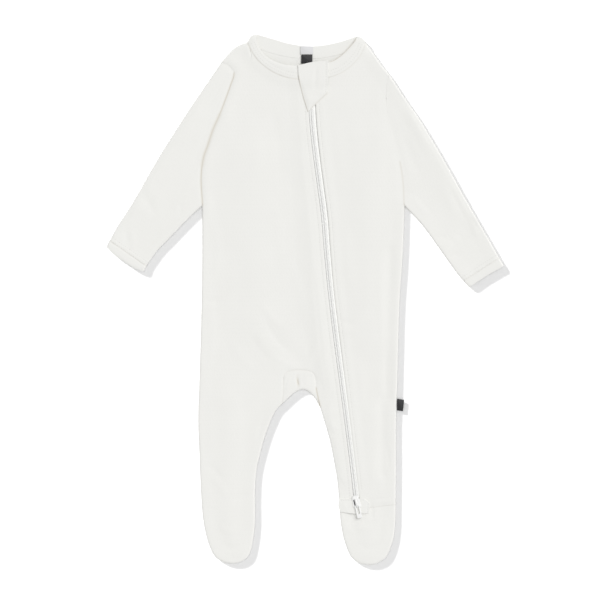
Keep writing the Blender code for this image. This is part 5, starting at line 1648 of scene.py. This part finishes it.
class SLEEPSUIT_OT_zip(bpy.types.Operator):
    """Build the tapes of the zip and the two halves of its coil"""
    bl_idname = "sleepsuit.zip"
    bl_label = "Zip tapes and coil"

    def execute(self, context):
        settings = context.scene.sleepsuit_zip
        tape = woven_material("Zip tape", settings.tape_colour, thread=0.0005, roughness=0.85, sheen=0.1,
                              relief=0.00004, contrast=0.08)
        nylon = hard_material("Nylon coil", settings.coil_colour, roughness=0.38, metallic=0.0, coat=0.1,
                              contrast=0.03)
        pitch = settings.coil_pitch / MM
        line = between(moved(ZIP_EDGE_RIGHT, COIL_FROM_EDGE), ZIP_TOP_Y, ZIP_END_Y)
        rows = along(line, fractions(line_length(line), TAPE_STEP))
        for side, way, start in (("right", -1.0, 0.5), ("left", 1.0, 1.0)):
            columns = np.sort(way * np.linspace(SEAM_GAP / 2, TAPE_WIDTH, TAPE_COLUMNS))
            fall = ease((np.abs(columns) - TAPE_RISE_WIDTH[side]) / TAPE_FALL)
            levels = TAPE_LEVEL + TAPE_RISE * (1 - fall)
            points = np.array([[(x + across, y, level) for across, level in zip(columns, levels)]
                               for x, y in rows])
            bm = new_cloth()
            add_layer(bm, points)
            strip = add_piece(f"{side}_tape", bm, tape, "zip", replaced=[f"zip_tape_{side}"])
            add_wall(strip, TAPE_THICK * MM, TAPE_RIM * MM)
            bm = bmesh.new()
            places = np.arange(start * pitch, line_length(line), pitch) / line_length(line)
            for x, y in along(line, places):
                add_bead(bm, (x + way * COIL_TURN_FROM_MIDDLE, y, COIL_LEVEL), COIL_TURN, way * COIL_TILT)
            coil = add_piece(f"{side}_coil", bm, nylon, "zip")
        return {"FINISHED"}


class SLEEPSUIT_OT_slider(bpy.types.Operator):
    """Build the slider at the zip's lower end, the painted shade in its window and its pull tab"""
    bl_idname = "sleepsuit.slider"
    bl_label = "Slider and pull tab"

    def execute(self, context):
        settings = context.scene.sleepsuit_zip
        metal = hard_material("White enamel", settings.metal_colour, roughness=0.35, metallic=0.0,
                              coat=0.4, contrast=0.04)
        # Near-black material for the block under the slider's window, which stands in for the shade there:
        # painted shade
        window_shade_material = hard_material("Dark spring steel", (0.09, 0.09, 0.095), roughness=0.45, metallic=0.6,
                              coat=0.0, contrast=0.2)
        window = box_corners(WINDOW_WIDTH, WINDOW_FROM, WINDOW_TO, WINDOW_X)
        half = PLATE_LENGTH / 2
        plate = [(-PLATE_WIDE / 2, -half), (PLATE_WIDE / 2, -half), (PLATE_NARROW / 2, half),
                 (-PLATE_NARROW / 2, half)]
        bm = slotted_plate(plate, PLATE_CORNER, window, WINDOW_CORNER, PLATE_LOW, PLATE_HIGH)
        add_slider_parts(bm)
        set_in_place(bm, (*SLIDER_AT, 0.0), SLIDER_TURN)
        add_piece("slider", bm, metal, "slider", replaced=["zip_slider"])
        bm = bmesh.new()
        add_block(bm, window, *WINDOW_SHADE_LEVELS, WINDOW_SHADE_CORNER, WINDOW_SHADE_RIM)
        set_in_place(bm, (*SLIDER_AT, 0.0), SLIDER_TURN)
        add_piece("slider_window_shade", bm, window_shade_material, "slider")
        bm = slotted_plate(box_corners(TAB_WIDTH, TAB_END, TAB_THICK / 2), TAB_CORNER,
                           box_corners(TAB_SLOT_WIDTH, TAB_SLOT_END, -TAB_THICK / 2), TAB_CORNER,
                           -TAB_THICK / 2, TAB_THICK / 2)
        across, up = SLIDER_AT
        hinge = (across - sin(SLIDER_TURN) * PIVOT_Y, up + cos(SLIDER_TURN) * PIVOT_Y, PIVOT_Z)
        set_in_place(bm, hinge, SLIDER_TURN)
        add_piece("slotted_tab", bm, metal, "slider", body="pull", replaced=["pull_tab"])
        return {"FINISHED"}


class SLEEPSUIT_OT_labels(bpy.types.Operator):
    """Build the plain tabs in the neck and at the hip"""
    bl_idname = "sleepsuit.labels"
    bl_label = "Labels"

    def execute(self, context):
        black = woven_material("Black satin label", (0.012, 0.012, 0.014), thread=0.0004, roughness=0.55,
                               sheen=0.2, relief=0.00003, contrast=0.3)
        grey = woven_material("Grey label", (0.76, 0.76, 0.77), thread=0.0004, roughness=0.8, sheen=0.1,
                              relief=0.00002, contrast=0.06)
        for name, node, corners, level, look, slot in (
            ("grey_neck_tab", "size_label", SIZE_LABEL, LABEL_LEVEL, grey, "label_grey"),
            ("black_neck_tab", "neck_label", NECK_LABEL, LABEL_LEVEL, black, "label_black"),
            ("black_hip_tab", "hip_tab", HIP_TAB, HIP_TAB_LEVEL, black, "label_black"),
        ):
            bm = bmesh.new()
            add_block(bm, corners, level - LABEL_THICK / 2, level + LABEL_THICK / 2, LABEL_CORNER, LABEL_RIM)
            set_in_place(bm)
            add_piece(name, bm, look, slot, replaced=[node])
        return {"FINISHED"}


class SLEEPSUIT_OT_topstitching(bpy.types.Operator):
    """Sew the rows of stitches that show on the outside"""
    bl_idname = "sleepsuit.topstitching"
    bl_label = "Topstitching"

    def execute(self, context):
        cloth = context.scene.sleepsuit_cloth
        pitch = cloth.stitch_pitch / MM
        size = (cloth.stitch_length / MM / 2, cloth.stitch_width / MM / 2, STITCH_RISE)
        jersey_top = cloth.wall / MM / 2
        band_top = cloth.band_wall / MM / 2
        rows_of_sewing = [
            (FRONT_RIGHT_STITCHES, front_right_height, jersey_top),
            (FRONT_LEFT_STITCHES, front_left_height, jersey_top),
            (BAND_STITCHES["right"], partial(front_band_height, side="right"), band_top),
            (CUFF_STITCHES["right"], partial(sleeve_height, side="right"), jersey_top),
            (BAND_STITCHES["left"], partial(front_band_height, side="left"), band_top),
            (CUFF_STITCHES["left"], partial(sleeve_height, side="left"), jersey_top),
            (GUARD_STITCHES, guard_height, cloth.guard_wall / MM / 2),
            (PATCH_STITCHES, patch_height, jersey_top),
        ]
        bm = bmesh.new()
        for rows, height, above in rows_of_sewing:
            for row in rows:
                add_stitches(bm, row, lambda points: height(points) + above, pitch, size)
        add_piece("topstitching", bm, thread_material(cloth.shaded_thread_colour), "jersey")
        return {"FINISHED"}


class SLEEPSUIT_OT_stage(bpy.types.Operator):
    """Set the floor, the light and the camera"""
    bl_idname = "sleepsuit.stage"
    bl_label = "Stage"

    def execute(self, context):
        scene = context.scene
        stage = scene.sleepsuit_stage
        garment = bpy.data.collections.new("Garment")
        for piece in scene.objects:
            if piece.type == "MESH":
                garment.objects.link(piece)
        bm = bmesh.new()
        bmesh.ops.create_grid(bm, x_segments=1, y_segments=1, size=FLOOR_SIZE / 2)
        mesh = bpy.data.meshes.new("Floor")
        bm.to_mesh(mesh)
        bm.free()
        mesh.materials.append(floor_material(stage.floor_colour))
        floor = bpy.data.objects.new("Floor", mesh)
        scene.collection.objects.link(floor)
        ground = bpy.data.collections.new("Ground")
        ground.objects.link(floor)
        for name, strength, softness, elevation, bearing, lit in (
            ("Garment key", stage.key, 40.0, 54.0, 42.0, garment),
            ("Garment fill", stage.fill, 60.0, 12.0, 222.0, garment),
            ("Shadow light", stage.floor_key, 6.5, 18.0, 138.0, ground),
            ("Floor fill", stage.floor_fill, 60.0, 90.0, 0.0, ground),
        ):
            light = bpy.data.lights.new(name, "SUN")
            light.energy = strength
            light.angle = radians(softness)
            sun = bpy.data.objects.new(name, light)
            sun.rotation_euler = (0.0, radians(90.0 - elevation), radians(bearing))
            sun.light_linking.receiver_collection = lit
            scene.collection.objects.link(sun)
        scene.world = bpy.data.worlds.new("Even sky")
        scene.world.use_nodes = True
        sky = scene.world.node_tree.nodes["Background"]
        sky.inputs["Color"].default_value = (1.0, 1.0, 1.0, 1.0)
        sky.inputs["Strength"].default_value = stage.sky
        scene.view_settings.view_transform = "Standard"
        lens = bpy.data.cameras.new("Camera")
        lens.lens = 200.0
        lens.sensor_width = 36.0
        lens.clip_end = 50.0
        camera = bpy.data.objects.new("Camera", lens)
        camera.location = (CAMERA_OVER[0] * MM, CAMERA_OVER[1] * MM, stage.camera_height)
        scene.collection.objects.link(camera)
        scene.camera = camera
        return {"FINISHED"}


class SLEEPSUIT_PT_panel(bpy.types.Panel):
    """Buttons that build the sleepsuit, in order"""
    bl_idname = "SLEEPSUIT_PT_panel"
    bl_label = "Baby Sleepsuit"
    bl_space_type = "VIEW_3D"
    bl_region_type = "UI"
    bl_category = "Sleepsuit"

    def draw(self, context):
        layout = self.layout
        for group in (context.scene.sleepsuit_cloth, context.scene.sleepsuit_zip,
                      context.scene.sleepsuit_stage):
            box = layout.box()
            for name in group.bl_rna.properties.keys():
                if name not in ("rna_type", "name"):
                    box.prop(group, name)
        for operator in OPERATORS:
            layout.operator(operator.bl_idname)


SETTINGS = {
    "sleepsuit_cloth": SleepsuitCloth,
    "sleepsuit_zip": SleepsuitZip,
    "sleepsuit_stage": SleepsuitStage,
}
OPERATORS = [
    SLEEPSUIT_OT_fronts, SLEEPSUIT_OT_back, SLEEPSUIT_OT_gusset, SLEEPSUIT_OT_sleeves,
    SLEEPSUIT_OT_cuffs, SLEEPSUIT_OT_neckband, SLEEPSUIT_OT_chin_guard, SLEEPSUIT_OT_zip_patch,
    SLEEPSUIT_OT_zip, SLEEPSUIT_OT_slider, SLEEPSUIT_OT_labels, SLEEPSUIT_OT_topstitching,
    SLEEPSUIT_OT_stage,
]


def register():
    for kind in (*SETTINGS.values(), *OPERATORS, SLEEPSUIT_PT_panel):
        bpy.utils.register_class(kind)
    for name, kind in SETTINGS.items():
        setattr(bpy.types.Scene, name, PointerProperty(type=kind))


def unregister():
    for name in SETTINGS:
        delattr(bpy.types.Scene, name)
    for kind in (SLEEPSUIT_PT_panel, *reversed(OPERATORS), *SETTINGS.values()):
        bpy.utils.unregister_class(kind)


def main():
    register()
    bpy.ops.sleepsuit.fronts()
    bpy.ops.sleepsuit.back()
    bpy.ops.sleepsuit.gusset()
    bpy.ops.sleepsuit.sleeves()
    bpy.ops.sleepsuit.cuffs()
    bpy.ops.sleepsuit.neckband()
    bpy.ops.sleepsuit.chin_guard()
    bpy.ops.sleepsuit.zip_patch()
    bpy.ops.sleepsuit.zip()
    bpy.ops.sleepsuit.slider()
    bpy.ops.sleepsuit.labels()
    bpy.ops.sleepsuit.topstitching()
    bpy.ops.sleepsuit.stage()


if __name__ == "__main__":
    main()
